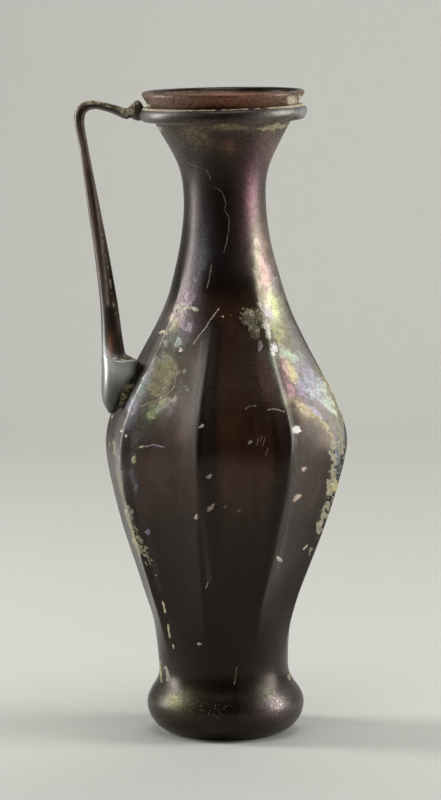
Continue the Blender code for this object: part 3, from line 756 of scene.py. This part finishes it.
def skin(name, patches, material, dip=0.06):
    """One object from patches of raised skin.

    A patch is a grid of points on the surface, its outward normals, the
    thickness there in mm (none where it is 0 or less) and a colour.
    """
    all_v, all_f, all_c, count = [], [], [], 0
    for points, normals, thick, colour in patches:
        corners = np.maximum.reduce([thick[:-1, :-1], thick[1:, :-1], thick[:-1, 1:], thick[1:, 1:]])
        cells = corners > 0.0
        used = np.zeros(thick.shape, bool)
        used[:-1, :-1] |= cells
        used[1:, :-1] |= cells
        used[:-1, 1:] |= cells
        used[1:, 1:] |= cells
        index = np.full(thick.shape, -1)
        index[used] = np.arange(used.sum()) + count
        i, j = np.nonzero(cells)
        quads = np.stack([index[i, j], index[i, j + 1], index[i + 1, j + 1], index[i + 1, j]], 1)
        lift = np.where(thick > 0.0, thick, -dip)
        all_v.append((points + normals * lift[..., None])[used])
        all_f += quads.tolist()
        all_c.append(colour[used])
        count += int(used.sum())
    verts, colours = np.concatenate(all_v), np.concatenate(all_c)
    obj = new_object(name, to_frame(verts).tolist(), all_f)
    set_colour(obj, "tint", colours)
    obj.data.materials.append(material)
    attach(obj, "root")
    print("SKIN", name, len(verts), 2 * len(all_f))
    return obj


# ---------------------------------------------------------------- materials
class Graph:
    """Short names for the nodes of one material."""

    def __init__(self, name):
        self.mat = bpy.data.materials.new(name)
        self.mat.use_nodes = True
        self.tree = self.mat.node_tree
        self.shader = self.tree.nodes["Principled BSDF"]
        self.out = self.tree.nodes["Material Output"]
        self.space = self.tree.nodes.new("ShaderNodeTexCoord").outputs["Object"]

    def put(self, socket, value):
        if isinstance(value, bpy.types.NodeSocket):
            self.tree.links.new(value, socket)
        else:
            socket.default_value = value

    def set(self, name, value):
        self.put(self.shader.inputs[name], value)

    def node(self, kind, **props):
        n = self.tree.nodes.new(kind)
        for k, v in props.items():
            setattr(n, k, v)
        return n

    def attr(self, name, output="Fac"):
        return self.node("ShaderNodeAttribute", attribute_name=name).outputs[output]

    def math(self, op, a, b=0.0, clamp=False):
        n = self.node("ShaderNodeMath", operation=op, use_clamp=clamp)
        self.put(n.inputs[0], a)
        self.put(n.inputs[1], b)
        return n.outputs[0]

    def ease(self, v, a, b, c=0.0, d=1.0):
        n = self.node("ShaderNodeMapRange", interpolation_type="SMOOTHSTEP")
        for k, w in zip((0, 1, 2, 3, 4), (v, a, b, c, d)):
            self.put(n.inputs[k], w)
        return n.outputs[0]

    def mix(self, f, a, b, blend="MIX"):
        n = self.node("ShaderNodeMix", data_type="RGBA", blend_type=blend)
        self.put(n.inputs[0], f)
        self.put(n.inputs[6], a)
        self.put(n.inputs[7], b)
        return n.outputs[2]

    def mix_value(self, f, a, b):
        n = self.node("ShaderNodeMix", data_type="FLOAT")
        self.put(n.inputs[0], f)
        self.put(n.inputs[2], a)
        self.put(n.inputs[3], b)
        return n.outputs[0]

    def stretched(self, sx, sy, sz, vector=None):
        n = self.node("ShaderNodeVectorMath", operation="MULTIPLY")
        self.put(n.inputs[0], vector or self.space)
        n.inputs[1].default_value = (sx, sy, sz)
        return n.outputs[0]

    def noise(self, size_mm, detail=4.0, rough=0.55, warp=0.0, vector=None, color=False):
        n = self.node("ShaderNodeTexNoise")
        self.put(n.inputs["Vector"], vector or self.space)
        n.inputs["Scale"].default_value = 1000.0 / size_mm
        n.inputs["Detail"].default_value = detail
        n.inputs["Roughness"].default_value = rough
        n.inputs["Distortion"].default_value = warp
        return n.outputs["Color" if color else "Fac"]

    def cells(self, size_mm, feature="F1", vector=None, output="Distance"):
        n = self.node("ShaderNodeTexVoronoi", feature=feature)
        self.put(n.inputs["Vector"], vector or self.space)
        n.inputs["Scale"].default_value = 1000.0 / size_mm
        return n.outputs[output]

    def ramp(self, f, *stops):
        n = self.node("ShaderNodeValToRGB")
        self.put(n.inputs[0], f)
        bar = n.color_ramp
        while len(bar.elements) > 1:
            bar.elements.remove(bar.elements[-1])
        bar.elements[0].position, bar.elements[0].color = stops[0]
        for pos, col in stops[1:]:
            bar.elements.new(pos).color = col
        return n.outputs[0]

    def bump(self, height, depth_mm, normal=None, strength=1.0):
        n = self.node("ShaderNodeBump")
        n.inputs["Strength"].default_value = strength
        n.inputs["Distance"].default_value = depth_mm * MM
        self.put(n.inputs["Height"], height)
        if normal is not None:
            self.put(n.inputs["Normal"], normal)
        return n.outputs[0]


def vessel_glass():
    """Dark purple-brown glass: see-through in the panels, with a satin bloom and painted highlights."""
    g = Graph("weathered_glass")
    dense_and_shade, cover, sparkle = g.attr("dense_and_shade"), g.attr("cover"), g.attr("sparkle")
    weathering_and_highlight = g.attr("weathering_and_highlight", "Color")
    streak = g.noise(2.6, 5, 0.6, 0.4, g.stretched(1.0, 1.0, 0.12))
    cloud = g.noise(16.0, 4, 0.6, 0.6)
    fine = g.noise(0.55, 3, 0.6)
    body = g.ramp(streak, (0.32, srgb(126, 100, 88)), (0.52, srgb(178, 148, 130)), (0.70, srgb(216, 186, 164)))
    body = g.mix(g.ease(cloud, 0.42, 0.62, 0.0, 0.8), body, srgb(140, 110, 84))
    body = g.mix(g.ease(dense_and_shade, 0.0, 0.45), body, g.ramp(fine, (0.3, srgb(20, 12, 10)), (0.7, srgb(34, 22, 18))))
    # the veil lays the weathering tints and the painted highlights over the glass
    veil_and_highlight = g.math("MULTIPLY", cover, g.math("ADD", 0.72, g.math("MULTIPLY", g.noise(1.6, 5, 0.65, 0.3), 0.55)), True)
    tone = g.mix(g.ease(g.noise(0.9, 3, 0.6), 0.35, 0.7), g.mix(0.12, weathering_and_highlight, srgb(230, 226, 216)),
                 g.mix(0.30, weathering_and_highlight, (0.0, 0.0, 0.0, 1.0)))
    glint = g.math("MULTIPLY", sparkle, g.ease(g.cells(0.34, output="Color"), 0.80, 0.90), True)
    body = g.mix(g.ease(veil_and_highlight, 0.10, 0.50), body, srgb(26, 19, 17))
    base = g.mix(veil_and_highlight, body, tone)
    base = g.mix(glint, base, g.mix(0.5, tone, srgb(190, 180, 150)))
    g.set("Base Color", base)
    g.set("Metallic", g.math("ADD", g.math("MULTIPLY", veil_and_highlight, 0.20), g.math("MULTIPLY", glint, 0.6), True))
    clear = g.math("SUBTRACT", 1.0, g.ease(dense_and_shade, 0.35, 1.0, 0.0, 0.75), True)
    clear = g.math("MULTIPLY", clear, g.math("SUBTRACT", 1.0, g.ease(veil_and_highlight, 0.15, 0.90), True), True)
    g.set("Transmission Weight", clear)
    rough = g.math("ADD", 0.22, g.math("MULTIPLY", g.noise(5.0, 5, 0.65), 0.14))
    rough = g.math("ADD", rough, g.math("MULTIPLY", veil_and_highlight, 0.12))
    g.set("Roughness", rough)
    g.shader.inputs["IOR"].default_value = 1.45
    g.shader.inputs["Specular IOR Level"].default_value = 0.27
    g.shader.inputs["Specular Tint"].default_value = (1.0, 0.80, 0.68, 1.0)
    h = g.math("ADD", g.math("MULTIPLY", fine, 0.5), g.math("MULTIPLY", streak, 0.8))
    g.set("Normal", g.bump(h, 0.030))
    v = g.node("ShaderNodeVolumeAbsorption")
    v.inputs["Color"].default_value = (0.37, 0.31, 0.28, 1.0)
    v.inputs["Density"].default_value = 470.0
    g.tree.links.new(v.outputs[0], g.out.inputs["Volume"])
    return g.mat


def handle_glass():
    """The drawn rod: dark core, lengthwise pinkish-grey strings, satin pad, with painted highlights and shade laid over
    them.
    """
    g = Graph("drawn_glass")
    along, pad, glow = g.attr("along"), g.attr("pad"), g.attr("glow")
    where = g.node("ShaderNodeCombineXYZ")
    g.put(where.inputs[0], g.attr("ring_x"))
    g.put(where.inputs[1], g.attr("ring_y"))
    g.put(where.inputs[2], along)
    vec = g.node("ShaderNodeVectorMath", operation="SCALE")
    g.tree.links.new(where.outputs[0], vec.inputs[0])
    vec.inputs["Scale"].default_value = MM
    lines = g.noise(1.5, 4, 0.6, 0.3, g.stretched(1.0, 1.0, 0.06, vec.outputs[0]))
    patchy = g.noise(5.0, 4, 0.6, 0.5)
    fine = g.noise(0.5, 3, 0.6)
    body = g.ramp(lines, (0.36, srgb(30, 22, 16)), (0.50, srgb(66, 50, 44)), (0.58, srgb(126, 106, 96)),
                  (0.66, srgb(168, 148, 134)), (0.74, srgb(84, 66, 58)))
    body = g.mix(g.ease(patchy, 0.50, 0.66, 0.0, 0.7), body, srgb(58, 44, 36))
    body = g.mix(glow, body, srgb(150, 78, 44))
    satin = g.ramp(g.noise(2.6, 5, 0.6), (0.3, srgb(66, 68, 65)), (0.7, srgb(92, 94, 90)))
    base = g.mix(pad, body, satin)
    base = g.mix(g.math("MULTIPLY", g.attr("tone_cover"), g.ease(fine, 0.25, 0.6, 0.75, 1.0)), base,
                 g.attr("tone", "Color"))
    g.set("Base Color", base)
    g.set("Metallic", g.math("ADD", 0.10, g.math("MULTIPLY", pad, 0.15)))
    g.set("Roughness", g.mix_value(pad, g.math("ADD", 0.24, g.math("MULTIPLY", fine, 0.22)), 0.26))
    g.shader.inputs["IOR"].default_value = 1.52
    g.set("Normal", g.bump(g.math("ADD", lines, g.math("MULTIPLY", fine, 0.3)), 0.06))
    return g.mat


def film_finish():
    """Flaking iridescent weathering: pearly and thin, with a few fine veins."""
    g = Graph("iridescent_film")
    tint = g.attr("tint", "Color")
    shift = g.noise(2.6, 5, 0.6, 0.8)
    col = g.mix(g.ease(shift, 0.34, 0.50), g.mix(0.30, tint, srgb(150, 172, 166)), tint)
    col = g.mix(g.ease(shift, 0.54, 0.70), col, g.mix(0.32, tint, srgb(216, 180, 172)))
    vein = g.ease(g.math("ABSOLUTE", g.math("SUBTRACT", g.noise(4.5, 6, 0.65, 0.6), 0.5)), 0.0, 0.020)
    col = g.mix(g.math("SUBTRACT", 0.7, g.math("MULTIPLY", vein, 0.7)), col, srgb(96, 80, 74))
    dark = g.ease(g.noise(1.6, 5, 0.7, 0.5), 0.30, 0.62, 0.62, 1.06)
    col = g.mix(1.0, col, dark, "MULTIPLY")
    g.set("Base Color", col)
    g.set("Metallic", 0.20)
    g.set("Roughness", g.math("ADD", 0.28, g.math("MULTIPLY", g.noise(0.8, 3, 0.6), 0.26)))
    g.set("Normal", g.bump(g.noise(0.9, 5, 0.7), 0.04))
    return g.mat


def crust_finish():
    """Lime and soil crust, matt and grainy."""
    g = Graph("mineral_crust")
    tint = g.attr("tint", "Color")
    grit = g.noise(0.45, 4, 0.7)
    col = g.mix(g.ease(grit, 0.44, 0.62, 0.0, 0.55), tint, g.mix(0.7, tint, srgb(70, 56, 38)))
    col = g.mix(g.ease(g.noise(1.4, 4, 0.6), 0.52, 0.72, 0.0, 0.6), col, g.mix(0.6, tint, srgb(236, 230, 214)))
    g.set("Base Color", col)
    g.set("Roughness", g.math("ADD", 0.62, g.math("MULTIPLY", grit, 0.35)))
    g.shader.inputs["Specular IOR Level"].default_value = 0.3
    g.set("Normal", g.bump(grit, 0.10))
    return g.mat


# -------------------------------------------------------------------- build
verts, faces, azimuth, run = build_vessel()
vessel = new_object("pitcher_vessel", to_frame(verts).tolist(), faces)
dense_and_shade, weathering_and_highlight, cover, sparkle = vessel_marks(verts, azimuth, run)
set_value(vessel, "dense_and_shade", dense_and_shade)
set_value(vessel, "cover", cover)
set_value(vessel, "sparkle", sparkle)
set_colour(vessel, "weathering_and_highlight", weathering_and_highlight)
vessel.data.materials.append(vessel_glass())
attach(vessel, "root")
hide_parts("pitcher")
print("VESSEL", len(verts), sum(len(f) - 2 for f in faces))

hv, hf, station, angle = build_handle()
handle = new_object("pitcher_handle", to_frame(hv).tolist(), hf)
length = np.interp(station, np.arange(len(HANDLE)),
                   np.concatenate([[0], np.cumsum(np.hypot(*np.diff(np.array(HANDLE)[:, :2], axis=0).T))]))
huv = seen_at(hv)
set_value(handle, "along", length)
set_value(handle, "ring_x", 3.0 * np.cos(np.radians(angle)))
set_value(handle, "ring_y", 3.0 * np.sin(np.radians(angle)))
set_value(handle, "pad", smooth(PAD_START, PAD_START + 1.2, station + 0.12 * noise3(hv, 2.0, 8)))
in_view = 1.0 - smooth(-0.1, 0.5, np.sin(np.radians(angle)))
set_value(handle, "glow", 0.8 * spot(huv, 111, 346, 2.2, 12.0) * in_view)
# painted highlights and shade on the handle's side in view
tone, tone_cover = paint(huv, HANDLE_TONE_AND_HIGHLIGHT_SPOTS, 91, edge=3.6, wobble=0.8)
for line, width, colour, strength in HANDLE_TONE_AND_HIGHLIGHT_LINES:
    k = strength * stroke(warped(huv, 0.4, 4.0, 92), line, width, 3.0) * (0.8 + 0.3 * noise3(hv, 2.0, 93))
    tone, tone_cover = lay(tone, tone_cover, srgb(*colour)[:3], np.clip(k, 0.0, 1.0))
set_colour(handle, "tone", tone)
set_value(handle, "tone_cover", tone_cover * in_view)
handle.data.materials.append(handle_glass())
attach(handle, "root")
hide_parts("pitcher")


def front_grid():
    ds, da = ((0.20, 0.30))
    run = np.arange(2.0, RUN[-1] - 0.1, ds)[:, None]
    azimuth = np.arange(-97.0, 97.0, da)[None, :]
    points = outer_surface(run, azimuth)
    return run, azimuth, points, normals_of(points)


def back_grid():
    ds, da = ((0.46, 0.62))
    run = np.arange(8.0, RUN[-1] - 0.1, ds)[:, None]
    azimuth = np.arange(88.0, 272.0, da)[None, :]
    points = outer_surface(run, azimuth)
    return run, azimuth, points, normals_of(points)


def ring_line(run, centre, width, points, seed, amount=0.6):
    """A broken line of crust in a groove that runs round the vessel."""
    return hump(run, centre, width) * (0.35 + amount * fbm(points, 2.4, 3, seed))


def front_crust(run, azimuth, points, normals):
    uv = seen_at(points)
    w = warped(warped(uv, 1.5, 5.0, 21), 0.7, 1.9, 22)
    w_line = warped(uv, 0.5, 3.0, 23)
    n1, n2 = fbm(points, 1.1, 3, 31), noise3(points, 0.42, 33)
    flake = fbm(points, 1.7, 4, 35)
    thick = np.full(uv.shape[:-1], -1.0)
    colour = np.tile(np.array(srgb(*CREAM)[:3]), uv.shape[:-1] + (1,))

    def add(near, value, height, tone):
        got = height * np.clip(value, -1, 1)
        better = got > thick[near]
        t, c = thick[near], colour[near]
        t[better] = got[better]
        c[better] = srgb(*tone)[:3]
        thick[near], colour[near] = t, c

    for cx, cy, rx, ry, lean, height, tone in CRUST_SPOTS:
        reach = 2.2 * max(rx, ry) + 3.0
        near = (np.abs(uv[..., 0] - cx) < reach) & (np.abs(uv[..., 1] - cy) < reach)
        if near.any():
            ww = w[near] if max(rx, ry) > 4.0 else 0.5 * w[near] + 0.5 * uv[near]
            m = spot(ww, cx, cy, rx, ry, lean, 3.0)
            add(near, 2.0 * (m - 0.5 + 0.50 * n1[near] + 0.20 * n2[near]), height, tone)
    for cx, cy, rx, ry, lean, height, tone, cover in CRUST_FIELDS:
        reach = 2.0 * max(rx, ry) + 3.0
        near = (np.abs(uv[..., 0] - cx) < reach) & (np.abs(uv[..., 1] - cy) < reach)
        if near.any():
            m = spot(w[near], cx, cy, rx, ry, lean, 3.5)
            add(near, 1.1 * flake[near] + 0.45 * n1[near] + 0.15 * n2[near] + cover - 1.3 * (1.0 - m), height, tone)
    for line, width, height, tone in CRUST_LINES:
        xs, ys = [p[0] for p in line], [p[1] for p in line]
        reach = 2.0 * width + 3.0
        near = ((uv[..., 0] > min(xs) - reach) & (uv[..., 0] < max(xs) + reach)
                & (uv[..., 1] > min(ys) - reach) & (uv[..., 1] < max(ys) + reach))
        if near.any():
            m = stroke((w if width > 3.0 else w_line)[near], line, width, 4.0 if width < 3.0 else 2.6)
            rag = 0.55 if width < 3.0 else 0.75
            add(near, 2.0 * (m - 0.5 + rag * (n1[near] + 0.4 * n2[near])), height, tone)
    # past the limb the patches thin out raggedly, and plainer ones take over
    run, azimuth = np.broadcast_arrays(run, azimuth)
    thick -= 0.5 * smooth(85.0, 97.0, np.abs(azimuth) + 5.0 * fbm(points, 4.0, 3, 45))
    # the groove between the collar and the lip
    top = COLLAR_LOW + 11.25
    ends = 0.42 * (smooth(-12.0, -40.0, azimuth) + smooth(24.0, 50.0, azimuth)) * hump(run, top, 0.8)
    ring = (0.30 + 0.55 * fbm(points, 2.6, 4, 41)) * hump(run, top, 0.6) - 0.20 + ends
    add(np.ones(thick.shape, bool), ring.ravel(), 0.30, (196, 184, 152))
    return points, normals, thick, colour


def back_crust(run, azimuth, points, normals):
    n = (0.75 * fbm(points * (1.0, 1.0, 0.6), 17.0, 4, 51) + 0.35 * fbm(points, 1.6, 3, 52)
         + 0.10 * noise3(points, 0.6, 53))
    height = 0.45 * (n - 0.42)
    keep = smooth(88.0, 91.0, azimuth) * (1.0 - smooth(269.0, 272.0, azimuth)) + 0 * run
    top = COLLAR_LOW + 11.25
    ring = 0.35 * (ring_line(run, top, 0.55, points, 41, 0.9) - 0.16)
    under = 0.2 * (ring_line(run, COLLAR_LOW - 1.2, 1.0, points, 43, 0.9) - 0.18)
    body = np.where((run > 12.0) & (run < COLLAR_LOW - 2.0), height, -1.0)
    thick = np.where(keep > 0.5, np.clip(np.maximum(np.maximum(body, ring), under), -1, 0.4), -1.0)
    pick = smooth(-0.3, 0.3, fbm(points, 6.0, 2, 54))[..., None]
    colour = np.array(srgb(178, 168, 138)[:3]) * pick + np.array(srgb(118, 108, 84)[:3]) * (1 - pick)
    return points, normals, thick, colour


def front_film(run, azimuth, points, normals):
    uv = seen_at(points)
    rgb, cover = paint(uv, FILM_AND_HIGHLIGHT_SPOTS, 61, edge=5.0, wobble=2.6)
    field = cover - 0.76 + 0.50 * fbm(points, 3.0, 4, 62) + 0.12 * noise3(points, 0.5, 64)
    # close to the break the film is paler
    rim = (1.0 - smooth(0.02, 0.12, field))[..., None]
    rgb = rgb * (1 - 0.4 * rim) + 0.4 * rim * np.array(srgb(196, 180, 168)[:3])
    field = field - 0.9 * smooth(84.0, 96.0, np.abs(azimuth) + 5.0 * fbm(points, 4.0, 3, 65))
    thick = np.where((run > 20.0) & (run < COLLAR_LOW - 2.0) & (azimuth == azimuth),
                     np.clip(0.10 * field, -0.1, 0.035), -0.1)
    return points, normals, thick, rgb


def back_film(run, azimuth, points, normals):
    n = fbm(points * (1.0, 1.0, 0.7), 21.0, 5, 71) + 0.12 * noise3(points, 1.1, 73)
    phase = smooth(-0.5, 0.5, fbm(points, 9.0, 3, 72)) * 4.0
    stops = np.array([srgb(*c)[:3] for c in ((150, 142, 152), (182, 132, 142), (186, 176, 126),
                                             (138, 176, 142), (122, 138, 160))])
    i = np.clip(phase.astype(int), 0, 3)
    f = (phase - i)[..., None]
    rgb = stops[i] * (1 - f) + stops[i + 1] * f
    thick = np.where((run > 40.0) & (run < COLLAR_LOW - 3.0) & (azimuth > 89.0) & (azimuth < 271.0),
                     np.clip(0.10 * (n - 0.40), -0.1, 0.035), -0.1)
    return points, normals, thick, rgb


def handle_crust():
    """Cream crust on the arm, on the joint's blob and round the pad's ledge."""
    steps, around = ((900, 84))
    n = len(HANDLE) - 1
    station = np.linspace(0.3, n - 0.2, steps)[:, None]
    angle = np.linspace(0.0, 360.0, around + 1)[None, :]
    points = handle_surface(station, angle)
    normals = normals_of(points)
    centre_at = spline(HANDLE, station)[..., [0, 1]]
    out = np.stack([points[..., 0] - centre_at[..., 0], points[..., 1], points[..., 2] - centre_at[..., 1]], -1)
    turn = np.sign((normals * out).sum(-1, keepdims=True))
    normals = normals * np.where(turn == 0, 1, turn)
    n1, n2 = fbm(points, 1.5, 3, 81), noise3(points, 0.5, 82)
    up = normals[..., 2]
    arm = smooth(2.4, 3.0, station) * (1 - smooth(6.2, 7.4, station)) * smooth(0.0, 0.8, up) * 1.0
    blob = smooth(2.0, 2.6, station) * (1 - smooth(4.0, 4.8, station)) * smooth(-0.9, 0.2, up) * 1.0
    ledge = hump(station, 14.2, 0.45) * smooth(-0.3, 0.5, points[..., 0] + 36.0) * 0.75
    seam_line = hump(station, 17.6, 1.3) * smooth(0.0, 1.2, points[..., 0] + 34.4 + 0.25 * (124.0 - points[..., 2])) * 0.8
    bend = hump(station, 7.6, 0.9) * smooth(0.3, 0.8, -normals[..., 0]) * 0.52
    shaft = hump(station, 11.3, 1.5) * hump(angle, 235.0, 16.0) * 0.62
    value = np.maximum.reduce([arm, blob, ledge, seam_line, bend, shaft])
    thick = np.clip(0.42 * (value - 0.45 + 0.42 * n1 + 0.14 * n2), -1.0, 0.30)
    pick = smooth(-0.2, 0.35, fbm(points, 2.2, 2, 84))[..., None]
    colour = np.array(srgb(196, 186, 156)[:3]) * pick + np.array(srgb(104, 92, 62)[:3]) * (1 - pick)
    return points, normals, thick, colour


film, crust = film_finish(), crust_finish()
front, back = front_grid(), back_grid()
film_skin = skin("iridescent_film", [front_film(*front), back_film(*back)], film, dip=0.02)
crust_skin = skin("mineral_crust", [front_crust(*front), back_crust(*back)], crust)
arm_skin = skin("handle_crust", [handle_crust()], crust)


# ------------------------------------------------------------------- studio
def area_light(name, at, toward, w, h, radiance, color=(1, 1, 1)):
    """A soft panel; radiance is what its face would show to the camera."""
    lamp = bpy.data.lights.new(name, "AREA")
    lamp.shape = "RECTANGLE"
    lamp.size, lamp.size_y = w, h
    lamp.energy = radiance * math.pi * w * h
    lamp.color = color
    obj = bpy.data.objects.new(name, lamp)
    bpy.context.scene.collection.objects.link(obj)
    obj.location = at
    obj.rotation_euler = (Vector(toward) - Vector(at)).to_track_quat("-Z", "Y").to_euler()
    return obj


def build_sweep():
    """A pale sheet: table, long curve, and back wall."""
    half_w, front_y, bend, radius, top = 1.6, -0.5, 0.75, 0.55, 1.9
    profile = [(front_y, 0.0), (bend, 0.0)]
    for i in range(1, 25):
        a = math.radians(90.0 * i / 24)
        profile.append((bend + radius * math.sin(a), radius * (1.0 - math.cos(a))))
    profile.append((bend + radius, top))
    v, f = [], []
    for y, z in profile:
        v += [(-half_w, y, z), (half_w, y, z)]
    for i in range(len(profile) - 1):
        f.append((2 * i, 2 * i + 1, 2 * i + 3, 2 * i + 2))
    sheet = new_object("studio_sweep", v, f)
    g = Graph("pale_sweep")
    fine = g.noise(1.2, 2, 0.5)
    col = g.ramp(fine, (0.3, srgb(197, 197, 190)), (0.7, srgb(202, 202, 195)))
    g.put(g.shader.inputs["Base Color"], col)
    g.shader.inputs["Roughness"].default_value = 0.85
    g.shader.inputs["Specular IOR Level"].default_value = 0.2
    sheet.data.materials.append(g.mat)
    return sheet


def round_the_object(azimuth_deg, distance, height):
    a = math.radians(azimuth_deg)
    return (AXIS[0] + distance * math.sin(a), AXIS[1] - distance * math.cos(a), height)


MIDDLE = (AXIS[0], AXIS[1], 0.13)
build_sweep()
area_light("soft_left", round_the_object(-99.0, 0.75, 0.30), MIDDLE, 0.23, 0.58, 15.5)
area_light("soft_right", round_the_object(88.0, 0.75, 0.30), MIDDLE, 0.34, 0.58, 9.0)
area_light("overhead", (0.10, -0.33, 1.45), (0.0, 0.02, 0.0), 0.9, 0.40, 5.8)
area_light("backdrop", (0.30, 0.80, 1.2), (0.12, 1.25, 0.15), 1.6, 0.5, 3.1)

world = bpy.data.worlds.new("studio_air")
bpy.context.scene.world = world
world.use_nodes = True
world.node_tree.nodes["Background"].inputs["Color"].default_value = (0.95, 0.97, 1.0, 1.0)
world.node_tree.nodes["Background"].inputs["Strength"].default_value = 0.05

cam_data = bpy.data.cameras.new("camera")
cam_data.sensor_width = 36.0
cam_data.lens = FOCAL_PX / FRAME_H * 36.0
cam_data.clip_start, cam_data.clip_end = 0.05, 20.0
cam = bpy.data.objects.new("camera", cam_data)
bpy.context.scene.collection.objects.link(cam)
cam.location = (AXIS[0] + CAMERA_SIDE, AXIS[1] - CAMERA_BACK, CAMERA_HEIGHT)
cam.rotation_euler = (math.radians(90.0) - CAMERA_PITCH, 0.0, 0.0)
bpy.context.scene.camera = cam
bpy.context.scene.view_settings.view_transform = "Standard"
